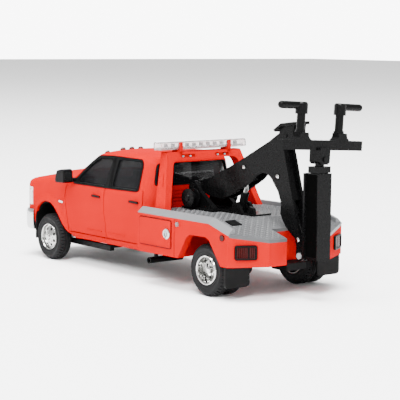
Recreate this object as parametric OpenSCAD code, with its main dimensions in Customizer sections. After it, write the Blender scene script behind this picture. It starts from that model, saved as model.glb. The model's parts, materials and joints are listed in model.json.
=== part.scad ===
// Die-cast toy tow truck: crew cab pickup with a wheel-lift wrecker body.
// X points forward, Y to the truck's left, Z up. All lengths are millimetres.
// The truck() module puts the drawing on axle coordinates: X = 0 at the rear axle.

/* [Running gear] */
// Distance between the front and the rear axle
wheelbase = 68.4; // [66:0.2:70]
// Outer radius of every tyre
tyre_r = 6.3; // [6.1:0.05:6.4]
// Radius of the wheel that the tyre sits on
rim_r = 3.6; // [3.4:0.05:3.8]
// Outer face of the front tyres from the centre line
front_tyre_face = 16.6; // [16.2:0.1:16.8]
// Width of a front tyre
front_tyre_w = 4.0; // [3.6:0.1:4.2]
// Outer face of the outer rear tyres from the centre line
rear_tyre_face = 17.9; // [17.7:0.1:17.9]
// Width of one rear tyre of a pair
rear_tyre_w = 3.6; // [3.3:0.1:3.7]
// Gap between the two rear tyres of a pair
dual_gap = 0.4; // [0.3:0.05:0.6]
// Radius of both axle rods
axle_r = 0.8; // [0.7:0.05:0.9]
// Radial clearance of a rod in its bearing
running_gap = 0.07; // [0.03:0.01:0.1]

/* [Cab] */
// Overhang of the bumper in front of the front axle
front_overhang = 15.3; // [15:0.1:15.8]
// Height of the roof at its crown
roof_z = 31.5; // [31:0.1:32]
// Height of the belt line under the side windows
belt_z = 22.1; // [21.8:0.1:22.4]
// Half width of the cab at the doors
cab_half_w = 15.9; // [15.7:0.05:16]
// Wall thickness of the cab casting
cab_wall = 1.1; // [0.9:0.05:1.3]
// Thickness of the window panes
pane_t = 0.7; // [0.5:0.05:0.8]

/* [Wrecker body] */
// Half width of the wrecker body
body_half_w = 18.8; // [18.6:0.05:18.9]
// Front face of the wrecker body ahead of the rear axle
body_front_x = 25.3; // [25:0.05:25.35]
// Height of the deck's tread plate
deck_z = 18.0; // [17.8:0.05:18.2]
// Thickness of the tread plate
deck_t = 0.8; // [0.6:0.05:0.9]
// Where the deck starts to slope down, from the rear axle
kink_x = -2.0; // [-3:0.1:-1]
// Drop of the sloping deck per millimetre
deck_slope = 0.30; // [0.26:0.01:0.32]
// Half width of the notch in the tail
notch_half_w = 4.7; // [4.4:0.1:5]

/* [Boom] */
// Half width over the boom's two side plates
boom_half_w = 1.95; // [1.9:0.05:2.1]
// Thickness of each boom side plate
boom_plate_t = 0.7; // [0.6:0.05:0.75]
// Radius of the pins in the boom
pin_r = 0.42; // [0.4:0.01:0.46]
// Radius of the lift cylinder's barrel
barrel_r = 1.05; // [1:0.01:1.08]
// Radius of the lift cylinder's rod
rod_r = 0.62; // [0.58:0.01:0.66]

/* [Wheel lift] */
// Half width of the stinger tube
stinger_half_w = 2.2; // [2.1:0.05:2.3]
// Height of the top of the stinger tube
stinger_top_z = 30.0; // [29.5:0.1:30.3]
// Tilt of the crossbar on its swivel, in degrees
crossbar_tilt = 3.2; // [0:0.2:5]
// Half length of the crossbar
crossbar_half_l = 12.95; // [12:0.05:13.2]
// Distance of each post from the centre line
post_y = 6.27; // [6.1:0.01:6.4]
// Radius of the posts
post_r = 1.0; // [0.95:0.01:1.1]
// Reach of each L-arm from its post to its tip
arm_reach = 7.2; // [6.5:0.05:7.4]

/* [Hidden] */

// overall length: from the head of the swivel pin to the bumper
tail_x = -21.5;
nose_x = wheelbase + front_overhang;
rear_axle_x = -(nose_x + tail_x) / 2;
axle_z = tyre_r;

// pivots, as [x, z] from the rear axle
boom_pivot = [21.2, 23.6];
rod_pin = [4.64, 29.6];
trunnion = [7.2, 19.4];
fold_pin = [-7.4, 28.3];
lower_pin = [-14.8, 14.0];
stinger_pivot = [-15.3, 10.2];
swivel_z = 33.3;

// colours
red = [0.80, 0.06, 0.05];
black = [0.04, 0.04, 0.045];
chrome = [0.80, 0.80, 0.82];
silver = [0.62, 0.63, 0.64];
rubber = [0.06, 0.06, 0.065];
big = 200;

// ---- helpers -------------------------------------------------------------

module truck() translate([rear_axle_x, 0, 0]) children();

module both_sides() {
    children();
    mirror([0, 1, 0]) children();
}

// an [x, z] outline drawn out along Y between two Y values
module side_plate(points, y0, y1) {
    translate([0, y1, 0]) rotate([90, 0, 0]) linear_extrude(y1 - y0) polygon(points);
}

// a [y, z] outline drawn out along X between two X values
module front_plate(points, x0, x1) {
    translate([x0, 0, 0]) rotate([90, 0, 90]) linear_extrude(x1 - x0) polygon(points);
}

// a round bar along Y
module bar_y(x, z, r, y0, y1, sides = 40) {
    translate([x, y0, z]) rotate([-90, 0, 0]) cylinder(r = r, h = y1 - y0, $fn = sides);
}

// a round bar along X
module bar_x(y, z, r, x0, x1, sides = 40) {
    translate([x0, y, z]) rotate([0, 90, 0]) cylinder(r = r, h = x1 - x0, $fn = sides);
}

// a turned part about Y from a [radius, y] outline
module turned_y(x, z, points, sides = 72) {
    translate([x, 0, z]) rotate([-90, 0, 0]) rotate_extrude($fn = sides) polygon(points);
}

module block(x0, x1, y0, y1, z0, z1) {
    translate([x0, y0, z0]) cube([x1 - x0, y1 - y0, z1 - z0]);
}

function arc(cx, cz, r, a0, a1, n) =
    [for (i = [0:n]) [cx + r * cos(a0 + (a1 - a0) * i / n), cz + r * sin(a0 + (a1 - a0) * i / n)]];

function inset(points, inward, o) = [for (i = [0:len(points) - 1]) points[i] + o * inward[i]];

// a rounded rectangle outline
function round_rect(x0, x1, z0, z1, r) = concat(
    arc(x1 - r, z1 - r, r, 0, 90, 4), arc(x0 + r, z1 - r, r, 90, 180, 4),
    arc(x0 + r, z0 + r, r, 180, 270, 4), arc(x1 - r, z0 + r, r, 270, 360, 4));

// height of the sloping deck below the level deck at x
function deck_drop(x) = x < kink_x ? deck_slope * (kink_x - x) : 0;

// ---- cab -----------------------------------------------------------------

sill_z = 8.5;
bumper_low = 7.3;
bumper_top = 13.1;
cab_rear_x = 25.6;
cowl = [58.8, 24.1];
roof_front = [47.2, 30.4];

function cab_side(o) = let (low = o > 0 ? sill_z - 1 : sill_z) inset(
    [[cab_rear_x, low], [cab_rear_x, 28.4], [26.4, 30.2], [28.4, 31.0], [37, roof_z], [44, roof_z - 0.3],
     roof_front, cowl, [66, 24.0], [73, 23.3], [78.6, 22.3], [81.6, 20.9], [82.6, 19.2], [82.6, low]],
    [[1, 0], [1, -0.3], [0.8, -0.7], [0.3, -1], [0, -1], [-0.1, -1],
     [-0.35, -1], [-0.35, -1], [0, -1], [0, -1], [-0.3, -1], [-0.7, -0.7], [-1, 0], [-1, 0]], o);

function half_front(o, low) = inset(
    [[15.3, low], [cab_half_w - 0.1, 10.6], [cab_half_w, 17.5], [cab_half_w - 0.15, 20.6], [15.5, belt_z],
     [13.45, 29.8], [12.5, 30.9], [10.2, roof_z - 0.15], [5.5, roof_z]],
    [[-1, 0], [-1, 0], [-1, 0], [-1, 0], [-1, 0], [-1, -0.3], [-0.7, -0.7], [-0.2, -1], [0, -1]], o);

function mirrored(points) = [for (i = [len(points) - 1:-1:0]) [-points[i][0], points[i][1]]];

function cab_front(o) = let (half = half_front(o, o > 0 ? sill_z - 1 : sill_z)) concat(half, mirrored(half));

function nose_half(o) = inset(
    [[cab_rear_x - 0.2, 16.5], [76.4, 16.5], [79.0, 15.0], [81.0, 11.6], [82.1, 6.5], [82.6, 0]],
    [[1, -1], [-1, -1], [-0.8, -0.6], [-0.9, -0.3], [-1, 0], [-1, 0]], o);

function nose_plan(o) = let (half = nose_half(o))
    concat(half, [for (i = [len(half) - 1:-1:0]) [half[i][0], -half[i][1]]]);

module cab_solid(o) {
    intersection() {
        side_plate(cab_side(o), -20, 20);
        front_plate(cab_front(o), 20, 90);
        linear_extrude(60) polygon(nose_plan(o));
    }
}

// front wheel arch, as an [x, z] outline ahead of and around the front axle
arch_r = 8.7;
arch_points = concat(
    [[wheelbase - 8.7, sill_z - 2]],
    arc(wheelbase - 0.1, 6.9, arch_r, 165, 50, 12),
    [[76.6, 12.6], [76.8, sill_z - 2]]);

module window_cutters() {
    pillar_front = 43.6;
    pillar_rear = 41.6;
    both_sides() {
        side_plate([[56.3, belt_z + 0.2], [48.6, 29.2], [pillar_front - 0.4, 29.3], [pillar_front, belt_z + 0.1]],
            12.35, 18);
        side_plate([[pillar_rear, belt_z + 0.1], [pillar_rear - 0.2, 29.3], [31.4, 29.1], [30.5, 28.3],
            [30.3, belt_z + 0.4]], 12.35, 18);
    }
    front_plate([[-13.6, 24.9], [-11.9, 29.9], [11.9, 29.9], [13.6, 24.9]], 46, 62);
    front_plate([[-13.5, 23.6], [-12.9, 29.6], [12.9, 29.6], [13.5, 23.6]], 24, 28);
}

module lamp_window() both_sides() block(70, 90, 10.4, 20, 14.3, 19.3);
module grille_window() block(70, 90, -9.8, 9.8, 13.6, 20.4);
module nose_skin(o0, o1) {
    difference() {
        linear_extrude(60) polygon(nose_plan(o0));
        translate([0, 0, -1]) linear_extrude(62) polygon(nose_plan(o1));
    }
}

module cab_body() color(red) truck() {
    difference() {
        union() {
            cab_solid(0);
            // arch flares and sills
            both_sides() difference() {
                side_plate(concat([[59.0, sill_z]], arc(wheelbase - 0.1, 6.9, arch_r + 1, 165, 50, 12),
                    [[77.6, 13.0], [77.6, 12.0]], [[70, sill_z]]), 12, 16.6);
                side_plate(arch_points, 0, 20);
            }
            both_sides() block(cab_rear_x, 58.6, 13.9, 15.3, 7.0, sill_z);
        }
        // cabin
        intersection() {
            cab_solid(cab_wall);
            block(20, 57.4, -20, 20, 0, 50);
        }
        // bottom of the rear wall and the firewall, over the chassis rails
        block(20, 60, -11.2, 11.2, 0, 9.8);
        // nose above the bumper
        block(76.7, 90, -20, 20, 0, bumper_top);
        // engine bay
        block(58.4, 80.6, -11.2, 11.2, 0, 20.8);
        both_sides() side_plate(arch_points, 11.0, 30);
        both_sides() block(57.0, 59.4, 11.0, 14.4, 0, 12);
        window_cutters();
        // seats of the headlamps and the grille
        intersection() {
            lamp_window();
            nose_skin(-2, 1.0);
        }
        intersection() {
            grille_window();
            nose_skin(-2, 1.0);
        }
    }
}

module cab_glazing() color([0.12, 0.13, 0.14, 0.6]) truck() {
    intersection() {
        window_cutters();
        difference() {
            cab_solid(0.2);
            cab_solid(0.2 + pane_t);
        }
    }
}

module interior_tub() color(black) truck() {
    floor_z = 9.8;
    difference() {
        block(27.4, 57.0, -14.0, 14.0, floor_z, 20.5);
        block(28.2, 56.2, -13.2, 13.2, floor_z + 0.8, 30);
    }
}

module seat(x, y0, y1, top) {
    side_plate([[x - 5.2, 10.6], [x - 5.2, 14.8], [x - 4.6, 15.4], [x + 0.2, 15.2], [x + 0.8, 14.6],
        [x + 0.8, 10.6]], y0, y1);
    side_plate([[x - 7.0, 10.6], [x - 8.4, top], [x - 7.8, top + 0.5], [x - 6.6, top + 0.3], [x - 5.2, 14.8],
        [x - 5.2, 10.6]], y0, y1);
    side_plate([[x - 8.2, top], [x - 8.9, top + 3.2], [x - 7.7, top + 3.4], [x - 7.0, top]],
        (y0 + y1) / 2 - 1.5, (y0 + y1) / 2 + 1.5);
}

module seats() color([0.10, 0.10, 0.11]) truck() {
    both_sides() seat(49.0, 2.6, 10.4, 23.2);
    both_sides() seat(37.2, 1.0, 12.4, 22.8);
}

module dashboard() color(black) truck() {
    difference() {
        side_plate([[52.6, 17.2], [51.8, 20.6], [52.4, 22.3], [56.2, 23.0], [56.2, 17.2]], -13.0, 13.0);
        steering_column();
    }
}

wheel_centre = [50.2, 6.4, 21.6];
module steering_wheel() color(black) truck() {
    translate(wheel_centre) rotate([0, -62, 0]) {
        rotate_extrude($fn = 40) translate([1.9, 0]) circle(r = 0.32, $fn = 16);
        translate([0, 0, -0.25]) cylinder(r = 0.7, h = 0.5, $fn = 32);
        for (a = [0, 120, 240]) rotate([0, 0, a]) translate([0.4, -0.2, -0.15]) cube([1.4, 0.4, 0.3]);
    }
    steering_column();
}
module steering_column() translate(wheel_centre) rotate([0, 118, 0]) cylinder(r = 0.4, h = 2.6, $fn = 24);

// ---- chassis -------------------------------------------------------------

rail_y0 = 4.6;
rail_y1 = 6.2;
pan_x = 48;
pan_z = 6.8;
module axle_bearing(x) {
    difference() {
        both_sides() side_plate([[x - 2.2, 7.4], [x - 1.7, axle_z - 1.2], [x - 1.0, axle_z - 1.9],
            [x + 1.0, axle_z - 1.9], [x + 1.7, axle_z - 1.2], [x + 2.2, 7.4], [x + 2.2, 8.2], [x - 2.2, 8.2]],
            rail_y0, rail_y1);
        bar_y(x, axle_z, axle_r + running_gap, -10, 10);
    }
}

module chassis_frame() color(black) truck() {
    difference() {
        union() {
            both_sides() block(-7.2, 80.2, rail_y0, rail_y1, 7.4, 9.4);
            // cross members
            for (x = [-5.4, 11.5, 26.5, 40, 56, 76]) block(x - 1, x + 1, -rail_y0, rail_y0, 7.6, 9.2);
            // floor plate under the cab
            block(27.0, 57.4, -13.7, 13.7, 8.9, 9.8);
            block(25.8, 58.2, -11.0, 11.0, 8.9, 9.8);
            // brackets that carry the wrecker body
            for (x = [13.5, 22.5]) block(x - 1, x + 1, -8.6, 8.6, 9.4, 10.4);
            // rear cross member and the hitch block in the notch
            block(-8.2, -6.2, -rail_y1, rail_y1, 7.0, 8.0);
            block(-12.4, -7.2, -3.2, 3.2, 6.3, 8.0);
            // gearbox pan between the rails, the lowest flat of the underside
            block(pan_x - 6, pan_x + 6, -4.0, 4.0, pan_z, 9.0);
            // fan and sump block ahead of the axle
            block(61, 63, -rail_y0, rail_y0, 7.4, 12);
            block(72.5, 75, -9.5, 9.5, 9.4, 12.5);
        }
        bar_y(0, axle_z, axle_r + 0.6, -10, 10);
        bar_y(wheelbase, axle_z, axle_r + 0.6, -10, 10);
        for (x = rivet_x) translate([x, 0, 0]) cylinder(r = rivet_r, h = 30, $fn = 32);
    }
    axle_bearing(0);
    axle_bearing(wheelbase);
    // bumper brackets
    intersection() {
        both_sides() block(80.2, 84, rail_y0, rail_y1, 7.6, 8.5);
        bumper_inside();
    }
}

rivet_x = [11.5, 56];
rivet_r = 0.55;
module chassis_rivets() color(silver) truck() {
    for (x = rivet_x) translate([x, 0, 7.0]) {
        cylinder(r = rivet_r, h = 2.2, $fn = 32);
        cylinder(r = 1.1, h = 0.6, $fn = 32);
    }
}

module bumper_inside() translate([-0.1, 0, 6]) linear_extrude(8) polygon(nose_plan(0.95));
module front_bumper() color(silver) truck() {
    intersection() {
        difference() {
            translate([nose_x - 82.6, 0, bumper_low]) linear_extrude(bumper_top - bumper_low) polygon(nose_plan(0));
            bumper_inside();
            // centre air opening
            block(70, 90, -6.5, 6.5, 8.7, 10.7);
        }
        block(76.9, 90, -16.4, 16.4, 0, 20);
    }
}

module grille() color(chrome) truck() {
    intersection() {
        grille_window();
        difference() {
            nose_skin(-0.35, 1.0);
            // slots between the bars
            intersection() {
                for (z = [14.5:1.3:19.0]) both_sides() block(80, 90, 0.5, 8.9, z, z + 0.8);
                nose_skin(-2, 0.35);
            }
        }
    }
}

module headlamps() color([0.85, 0.87, 0.9, 0.6]) truck() {
    intersection() {
        lamp_window();
        nose_skin(-0.05, 1.0);
        cab_like_front();
    }
}

module cab_like_front() front_plate(cab_front(0), 60, 95);

light_y = [-8.8, -4.4, 0, 4.4, 8.8];
module clearance_lights() color([0.45, 0.10, 0.02]) truck() {
    for (y = light_y) intersection() {
        translate([45.2, y, roof_z - 0.9]) rotate([0, 90, 0]) cylinder(r = 1.35, h = 1.9, center = true, $fn = 36);
        difference() {
            block(44.2, 46.2, y - 1.0, y + 1.0, roof_z - 1.2, roof_z + 0.5);
            cab_solid(0);
        }
    }
}

module mirror_shape() {
    // head
    side_plate([[57.0, 22.4], [56.9, 25.3], [57.5, 25.7], [58.4, 25.2], [58.9, 23.4], [58.5, 22.4]], 16.9, 20.0);
    // arm to the door
    side_plate([[57.1, 22.5], [57.1, 23.5], [58.1, 23.5], [58.1, 22.5]], 14.6, 16.9);
}

module mirror_left() color(black) truck() difference() {
    mirror_shape();
    cab_solid(0);
}
module mirror_right() color(black) truck() mirror([0, 1, 0]) difference() {
    mirror_shape();
    cab_solid(0);
}

module door_handles() color(black) truck() {
    both_sides() difference() {
        for (x = [45.6, 29.5]) block(x, x + 3.8, 15, cab_half_w + 0.2, 19.0, 19.6);
        cab_solid(0);
    }
}

module side_bars() color(rubber) truck() {
    both_sides() {
        block(46.0, 65.6, 10.7, 12.0, 4.7, 6.1);
        block(48.0, 50.0, rail_y1, 10.7, 5.0, 6.0);
        block(58.0, 60.0, rail_y1, 10.7, 5.0, 6.0);
        block(48.0, 50.0, rail_y0, rail_y1, 5.0, 7.4);
        block(58.0, 60.0, rail_y0, rail_y1, 5.0, 7.4);
    }
}

pipe = [24.2, 5.4];
module exhaust_pipe() color(black) truck() {
    difference() {
        union() {
            bar_y(pipe[0], pipe[1], 0.8, 5.4, 16.0);
            // hangers up to the chassis rail and the wrecker body
            block(pipe[0] - 0.6, pipe[0] + 0.6, rail_y0, rail_y1, pipe[1], 7.4);
            block(pipe[0] - 0.5, pipe[0] + 0.2, 13.4, 14.2, pipe[1], body_bottom);
        }
        bar_y(pipe[0], pipe[1], 0.58, 14.6, 17);
    }
}

// ---- wrecker body --------------------------------------------------------

body_bottom = 8.1;
rim_z = deck_z - 0.35;
rail_in_y = 16.6;
tail_end_x = -13.9;
facet_out = [-9.3, 17.8];
facet_in = [-13.6, 10.0];

// plan of the wrecker body, left half, from the front corner round to the centre
function body_plan() = let (half = [[body_front_x, body_half_w], [-8.7, body_half_w], facet_out, facet_in,
    [tail_end_x, notch_half_w], [tail_end_x, 0]])
    concat(half, [for (i = [len(half) - 1:-1:0]) [half[i][0], -half[i][1]]]);

// side outline of everything under a height at the level deck
function under(z, low) = [[40, low], [40, z], [kink_x, z], [-20, z - deck_drop(-20)], [-20, low]];

rear_arch = [[9.6, body_bottom - 1], [9.4, body_bottom], [6.2, 13.5], [5.0, 14.3], [-0.8, 14.4], [-2.2, 13.7],
    [-6.4, body_bottom], [-6.6, body_bottom - 1]];

module notch() block(-16, -8.5, -notch_half_w, notch_half_w, 0, 40);

module body_block(z, low) {
    intersection() {
        side_plate(under(z, low), -20, 20);
        linear_extrude(60) polygon(body_plan());
    }
}

// slot for the tail of the lift cylinder
module cylinder_slot(z0, z1) block(5.4, 10.7, -1.5, 1.5, z0, z1);

module wrecker_body() color(red) truck() {
    difference() {
        body_block(rim_z, body_bottom);
        notch();
        // seat of the tread plate
        difference() {
            side_plate([[kink_x, deck_z - deck_t], [40, deck_z - deck_t], [40, 60], [-40, 60],
                [-40, deck_z - deck_t - deck_drop(-40)]], -rail_in_y, rail_in_y);
        }
        side_plate([[-8.9, deck_z - deck_t - deck_drop(-8.9)], [-8.9, 60], [-40, 60],
            [-40, deck_z - deck_t - deck_drop(-40)]], -20, 20);
        // tunnel over the chassis and wheel wells
        block(-7.5, 40, -8.6, 8.6, 0, 15.4);
        both_sides() block(-6.9, 10.0, 8.5, 16.8, 0, 15.0);
        bar_y(0, axle_z, tyre_r + 0.6, -18.25, 18.25, 64);
        both_sides() side_plate(rear_arch, 15, 30);
        // toolboxes are open underneath
        both_sides() block(11.4, 24.3, 9.6, 17.8, 0, 16.2);
        cylinder_slot(10, 30);
        // seam behind the toolbox
        both_sides() block(10.65, 10.9, body_half_w - 0.25, 30, 0, 30);
    }
}

module deck_plate() color(silver) truck() {
    difference() {
        intersection() {
            difference() {
                side_plate([[kink_x, deck_z], [40, deck_z], [40, deck_z - deck_t], [kink_x, deck_z - deck_t],
                    [-20, deck_z - deck_t - deck_drop(-20)], [-20, deck_z - deck_drop(-20)]], -20, 20);
                both_sides() block(-8.9, 40, rail_in_y, 30, 0, 40);
            }
            linear_extrude(60) polygon(body_plan());
        }
        notch();
        cylinder_slot(10, 30);
    }
}

rail_profile = [[rail_in_y, -0.35], [rail_in_y, 1.0], [rail_in_y + 0.6, 1.1], [body_half_w, -0.2],
    [body_half_w, -0.35]];
slope_angle = atan(deck_slope);
module deck_rails() color([0.72, 0.72, 0.73]) truck() {
    both_sides() {
        intersection() {
            union() {
                translate([kink_x, 0, deck_z]) rotate([90, 0, 90]) linear_extrude(body_front_x - kink_x)
                    polygon(rail_profile);
                translate([kink_x, 0, deck_z]) rotate([0, -slope_angle, 0]) translate([-9, 0, 0])
                    rotate([90, 0, 90]) linear_extrude(9.2) polygon(rail_profile);
            }
            // stay above the rim and ahead of the tail
            difference() {
                side_plate([[kink_x, rim_z], [40, rim_z], [40, 40], [-8.9, 40], [-8.9, rim_z - deck_drop(-8.9)]],
                    10, 30);
            }
        }
    }
}

module deck_pads() color(black) truck() {
    // laid on the slope
    both_sides() translate([kink_x, 0, deck_z]) rotate([0, -slope_angle, 0])
        block(-3.1, -0.4, 11.0, 14.0, 0, 0.25);
}

module toolbox_doors() color(red) truck() {
    both_sides() side_plate(round_rect(11.9, 24.2, 10.2, 16.8, 0.5), body_half_w, body_half_w + 0.35);
}

module toolbox_latches() color(chrome) truck() {
    both_sides() {
        bar_y(13.3, 13.6, 1.3, body_half_w + 0.35, body_half_w + 0.6);
        bar_y(13.3, 13.6, 0.8, body_half_w + 0.6, body_half_w + 0.7);
    }
}

module front_markers() color([0.9, 0.9, 0.92, 0.7]) truck() {
    both_sides() bar_y(9.55, 16.3, 0.6, body_half_w, body_half_w + 0.3, 32);
}

module rear_markers() color([0.6, 0.02, 0.02]) truck() {
    both_sides() bar_y(-7.0, 14.9, 0.75, body_half_w, body_half_w + 0.3, 32);
}

// local frame on a tail facet: X runs inward along it, -Y points out of it
facet_run = facet_in - facet_out;
facet_angle = atan2(facet_run[1], facet_run[0]);
module on_facet() {
    both_sides() translate([facet_out[0], facet_out[1], 0]) rotate([0, 0, facet_angle]) children();
}

module tail_lamp_frames() color(black) truck() on_facet() {
    difference() {
        side_plate(round_rect(0.6, 5.9, 9.9, 13.3, 0.6), -0.5, 0);
        side_plate(round_rect(1.0, 5.5, 10.3, 12.9, 0.35), -1, 1);
    }
}

module tail_lamp_lenses() color([0.25, 0.02, 0.02]) truck() on_facet() {
    side_plate(round_rect(1.0, 5.5, 10.3, 12.9, 0.35), -0.3, 0);
}

module mud_flaps() color(rubber) truck() {
    both_sides() front_plate(concat([[11.2, body_bottom]], arc(12.2, 4.0, 1.0, 180, 270, 6),
        arc(17.8, 4.0, 1.0, 270, 360, 6), [[18.8, body_bottom]]), -8.2, -7.6);
}

module headache_rack() color(red) truck() {
    difference() {
        intersection() {
            side_plate([[17.6, deck_z], [21.6, deck_z], [24.4, 32.5], [22.0, 32.5]], -20, 20);
            front_plate([[-16.3, deck_z - 1], [-16.3, deck_z], [-12.2, 32.3], [-12.0, 32.5], [12.0, 32.5], [12.2, 32.3],
                [16.3, deck_z], [16.3, deck_z - 1]], 10, 30);
        }
        // open portal with rounded upper corners
        front_plate(concat([[14.5, deck_z - 2], [14.4, deck_z]], arc(8.7, 28.3, 2.4, 15, 90, 8),
            arc(-8.7, 28.3, 2.4, 90, 165, 8), [[-14.4, deck_z], [-14.5, deck_z - 2]]), 0, 40);
        // recesses in the crossbar with the lamp sockets in them
        both_sides() side_plate([[20, 30.95], [22.1, 30.95], [22.25, 31.8], [20, 31.8]], 3.3, 7.9);
        for (y = lamp_y) bar_x(y, lamp_z, lamp_r, 10, 22.8, 24);
        // slot down each post
        both_sides() side_plate([[20.4, 24.0], [21.5, 28.0], [21.9, 28.0], [20.8, 24.0]], 13.6, 30);
    }
}

lamp_y = [6.9, 4.55, -4.55, -6.9];
lamp_z = 31.38;
lamp_r = 0.38;
module work_lamps() color([0.9, 0.9, 0.9]) truck() {
    for (y = lamp_y) bar_x(y, lamp_z, lamp_r, 21.9, 22.8, 24);
}

bar_mount_y = 8.0;
module light_bar_mounts() color(red) truck() {
    both_sides() {
        // foot on the rack and a strap up the lens's rear face
        block(22.1, 24.3, bar_mount_y - 0.7, bar_mount_y + 0.7, 32.5, 33.0);
        block(21.5, 22.1, bar_mount_y - 0.5, bar_mount_y + 0.5, 32.55, 33.0);
        block(21.5, 21.9, bar_mount_y - 0.5, bar_mount_y + 0.5, 33.0, 34.9);
    }
}

module light_bar_lens() color([0.9, 0.9, 0.92, 0.5]) truck() {
    side_plate(round_rect(21.9, 25.1, 33.0, 35.0, 0.5), -14.1, 14.1);
}

// ---- boom and its mount --------------------------------------------------

mount_y0 = 3.1;
mount_y1 = 4.3;
module boom_mount() color(black) truck() {
    difference() {
        union() {
            both_sides() side_plate(concat([[13.0, deck_z], [13.0, deck_z + 0.8], [18.6, 22.6]],
                arc(boom_pivot[0], boom_pivot[1], 1.5, 150, 0, 10), [[24.0, deck_z]]), mount_y0, mount_y1);
            block(12.0, 24.2, -5.6, 5.6, deck_z, deck_z + 0.5);
        }
        bar_y(boom_pivot[0], boom_pivot[1], pivot_r + running_gap, -10, 10);
        bar_y(drum_pos[0], drum_pos[1], drum_shaft_r, -10, 10);
    }
}

drum_pos = [19.6, 21.0];
drum_shaft_r = 0.6;
module winch_drums() color(black) truck() {
    both_sides() turned_y(drum_pos[0], drum_pos[1],
        [[0, mount_y0], [drum_shaft_r, mount_y0], [drum_shaft_r, 5.2], [2.35, 5.25], [2.35, 5.6], [1.3, 5.7],
         [1.3, 7.0], [2.35, 7.1], [2.35, 7.45], [0.9, 7.55], [0.8, 7.8], [0, 7.8]], 48);
}

module cylinder_bracket() color(black) truck() {
    difference() {
        union() {
            both_sides() side_plate(concat([[9.8, deck_z]], arc(trunnion[0], trunnion[1], 1.35, 20, 160, 8),
                [[4.6, deck_z]]), 1.5, 2.3);
            difference() {
                block(0.0, 12.0, -3.0, 3.0, deck_z, deck_z + 0.4);
                cylinder_slot(10, 30);
            }
            side_plate([[0.4, deck_z + 0.4], [0.8, deck_z + 1.9], [2.2, deck_z + 2.2], [3.4, deck_z + 0.4]], 1.5, 2.3);
        }
        bar_y(trunnion[0], trunnion[1], trunnion_r + running_gap, -10, 10);
    }
}

pivot_r = 0.6;
trunnion_r = 0.5;

// side outline of the boom: the long arm, the head and the down leg
boom_outline = concat(
    arc(boom_pivot[0], boom_pivot[1], 1.2, -60, 80, 8),
    [[17.4, 26.0], [14.9, 27.1], [11.2, 28.8], [5.74, 31.4], [-4.1, 36.5], [-7.0, 38.3], [-7.6, 38.6],
     [-12.4, 38.9], [-12.7, 38.0], [-8.6, 36.6], [-9.8, 33.2], [-12.1, 25.0], [-14.8, 16.4], [-16.4, 11.6]],
    arc(stinger_pivot[0], stinger_pivot[1], 1.25, 165, 370, 12),
    [[-14.2, 12.4], [-13.5, 14.3], [-12.1, 15.3], [-10.4, 16.7], [-9.3, 18.1], [-8.5, 19.7], [-8.7, 21.7],
     [-8.3, 22.9], [-7.5, 24.8]],
    arc(-2.4, 24.8, 4.0, 150, 48, 8),
    [[1.6, 26.6], [8.05, 22.9], [12.6, 21.0], [17.6, 21.5]]);

// web between the side plates, set in from the leg's rear edge
leg_web = [[-7.8, 36.2], [-9.0, 33.1], [-11.3, 25.2], [-12.0, 23.0], [-11.6, 22.9], [-10.8, 25.1], [-8.5, 33.0],
    [-7.3, 36.0]];

module boom_frame() color(black) truck() {
    inner = boom_half_w - boom_plate_t;
    difference() {
        union() {
            both_sides() side_plate(boom_outline, inner, boom_half_w);
            // top plate between the side plates
            side_plate([[17.4, 26.0], [14.9, 27.1], [11.2, 28.8], [5.74, 31.4], [-4.1, 36.5], [-6.8, 38.2],
                [-6.4, 37.4], [-3.9, 35.8], [5.5, 30.8], [11.0, 28.2], [14.7, 26.5], [17.2, 25.4]], -inner, inner);
            // cross tube on the main pivot
            bar_y(boom_pivot[0], boom_pivot[1], 1.1, -mount_y0 + 0.15, mount_y0 - 0.15);
            side_plate(leg_web, -inner, inner);
        }
        bar_y(boom_pivot[0], boom_pivot[1], pivot_r, -10, 10);
        for (p = [rod_pin, fold_pin, lower_pin, stinger_pivot]) bar_y(p[0], p[1], pin_r, -10, 10);
        bar_y(sheave_pos[0], sheave_pos[1], pin_r, -10, 10);
    }
}

module headed_pin(p, head) {
    turned_y(p[0], p[1], [[0, -boom_half_w - 0.35], [head, -boom_half_w - 0.3], [head, -boom_half_w],
        [pin_r, -boom_half_w], [pin_r, boom_half_w], [head, boom_half_w], [head, boom_half_w + 0.3],
        [0, boom_half_w + 0.35]], 32);
}

module boom_pins() color(chrome) truck() {
    headed_pin(rod_pin, 0.75);
    headed_pin(fold_pin, 0.7);
    headed_pin(lower_pin, 0.65);
}

module stinger_pin() color(chrome) truck() headed_pin(stinger_pivot, 0.75);

module boom_pivot_pin() color(black) truck() {
    turned_y(boom_pivot[0], boom_pivot[1],
        [[0, -4.9], [1.0, -4.85], [1.0, -mount_y1 - 0.1], [pivot_r, -mount_y1 - 0.1], [pivot_r, mount_y1 + 0.1],
         [1.0, mount_y1 + 0.1], [1.0, 4.85], [0, 4.9]], 40);
}

sheave_pos = [-10.0, 38.2];
module head_sheave() color(black) truck() {
    inner = boom_half_w - boom_plate_t;
    turned_y(sheave_pos[0], sheave_pos[1],
        [[0, -boom_half_w - 0.2], [pin_r, -boom_half_w - 0.2], [pin_r, -inner], [1.75, -inner], [1.75, -0.8],
         [1.2, -0.3], [1.2, 0.3], [1.75, 0.8], [1.75, inner], [pin_r, inner], [pin_r, boom_half_w + 0.2],
         [0, boom_half_w + 0.2]], 40);
}

module head_cover() color(black) truck() {
    // roof plate
    side_plate([[-6.2, 39.4], [-8.7, 41.1], [-13.2, 41.7], [-13.2, 41.0], [-8.9, 40.4], [-6.9, 39.0]], -2.6, 2.6);
    // cheeks down to the boom
    both_sides() side_plate([[-7.6, 38.6], [-7.9, 39.7], [-8.9, 40.4], [-12.8, 40.95], [-12.4, 38.9]],
        boom_half_w - boom_plate_t, boom_half_w);
}

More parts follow.
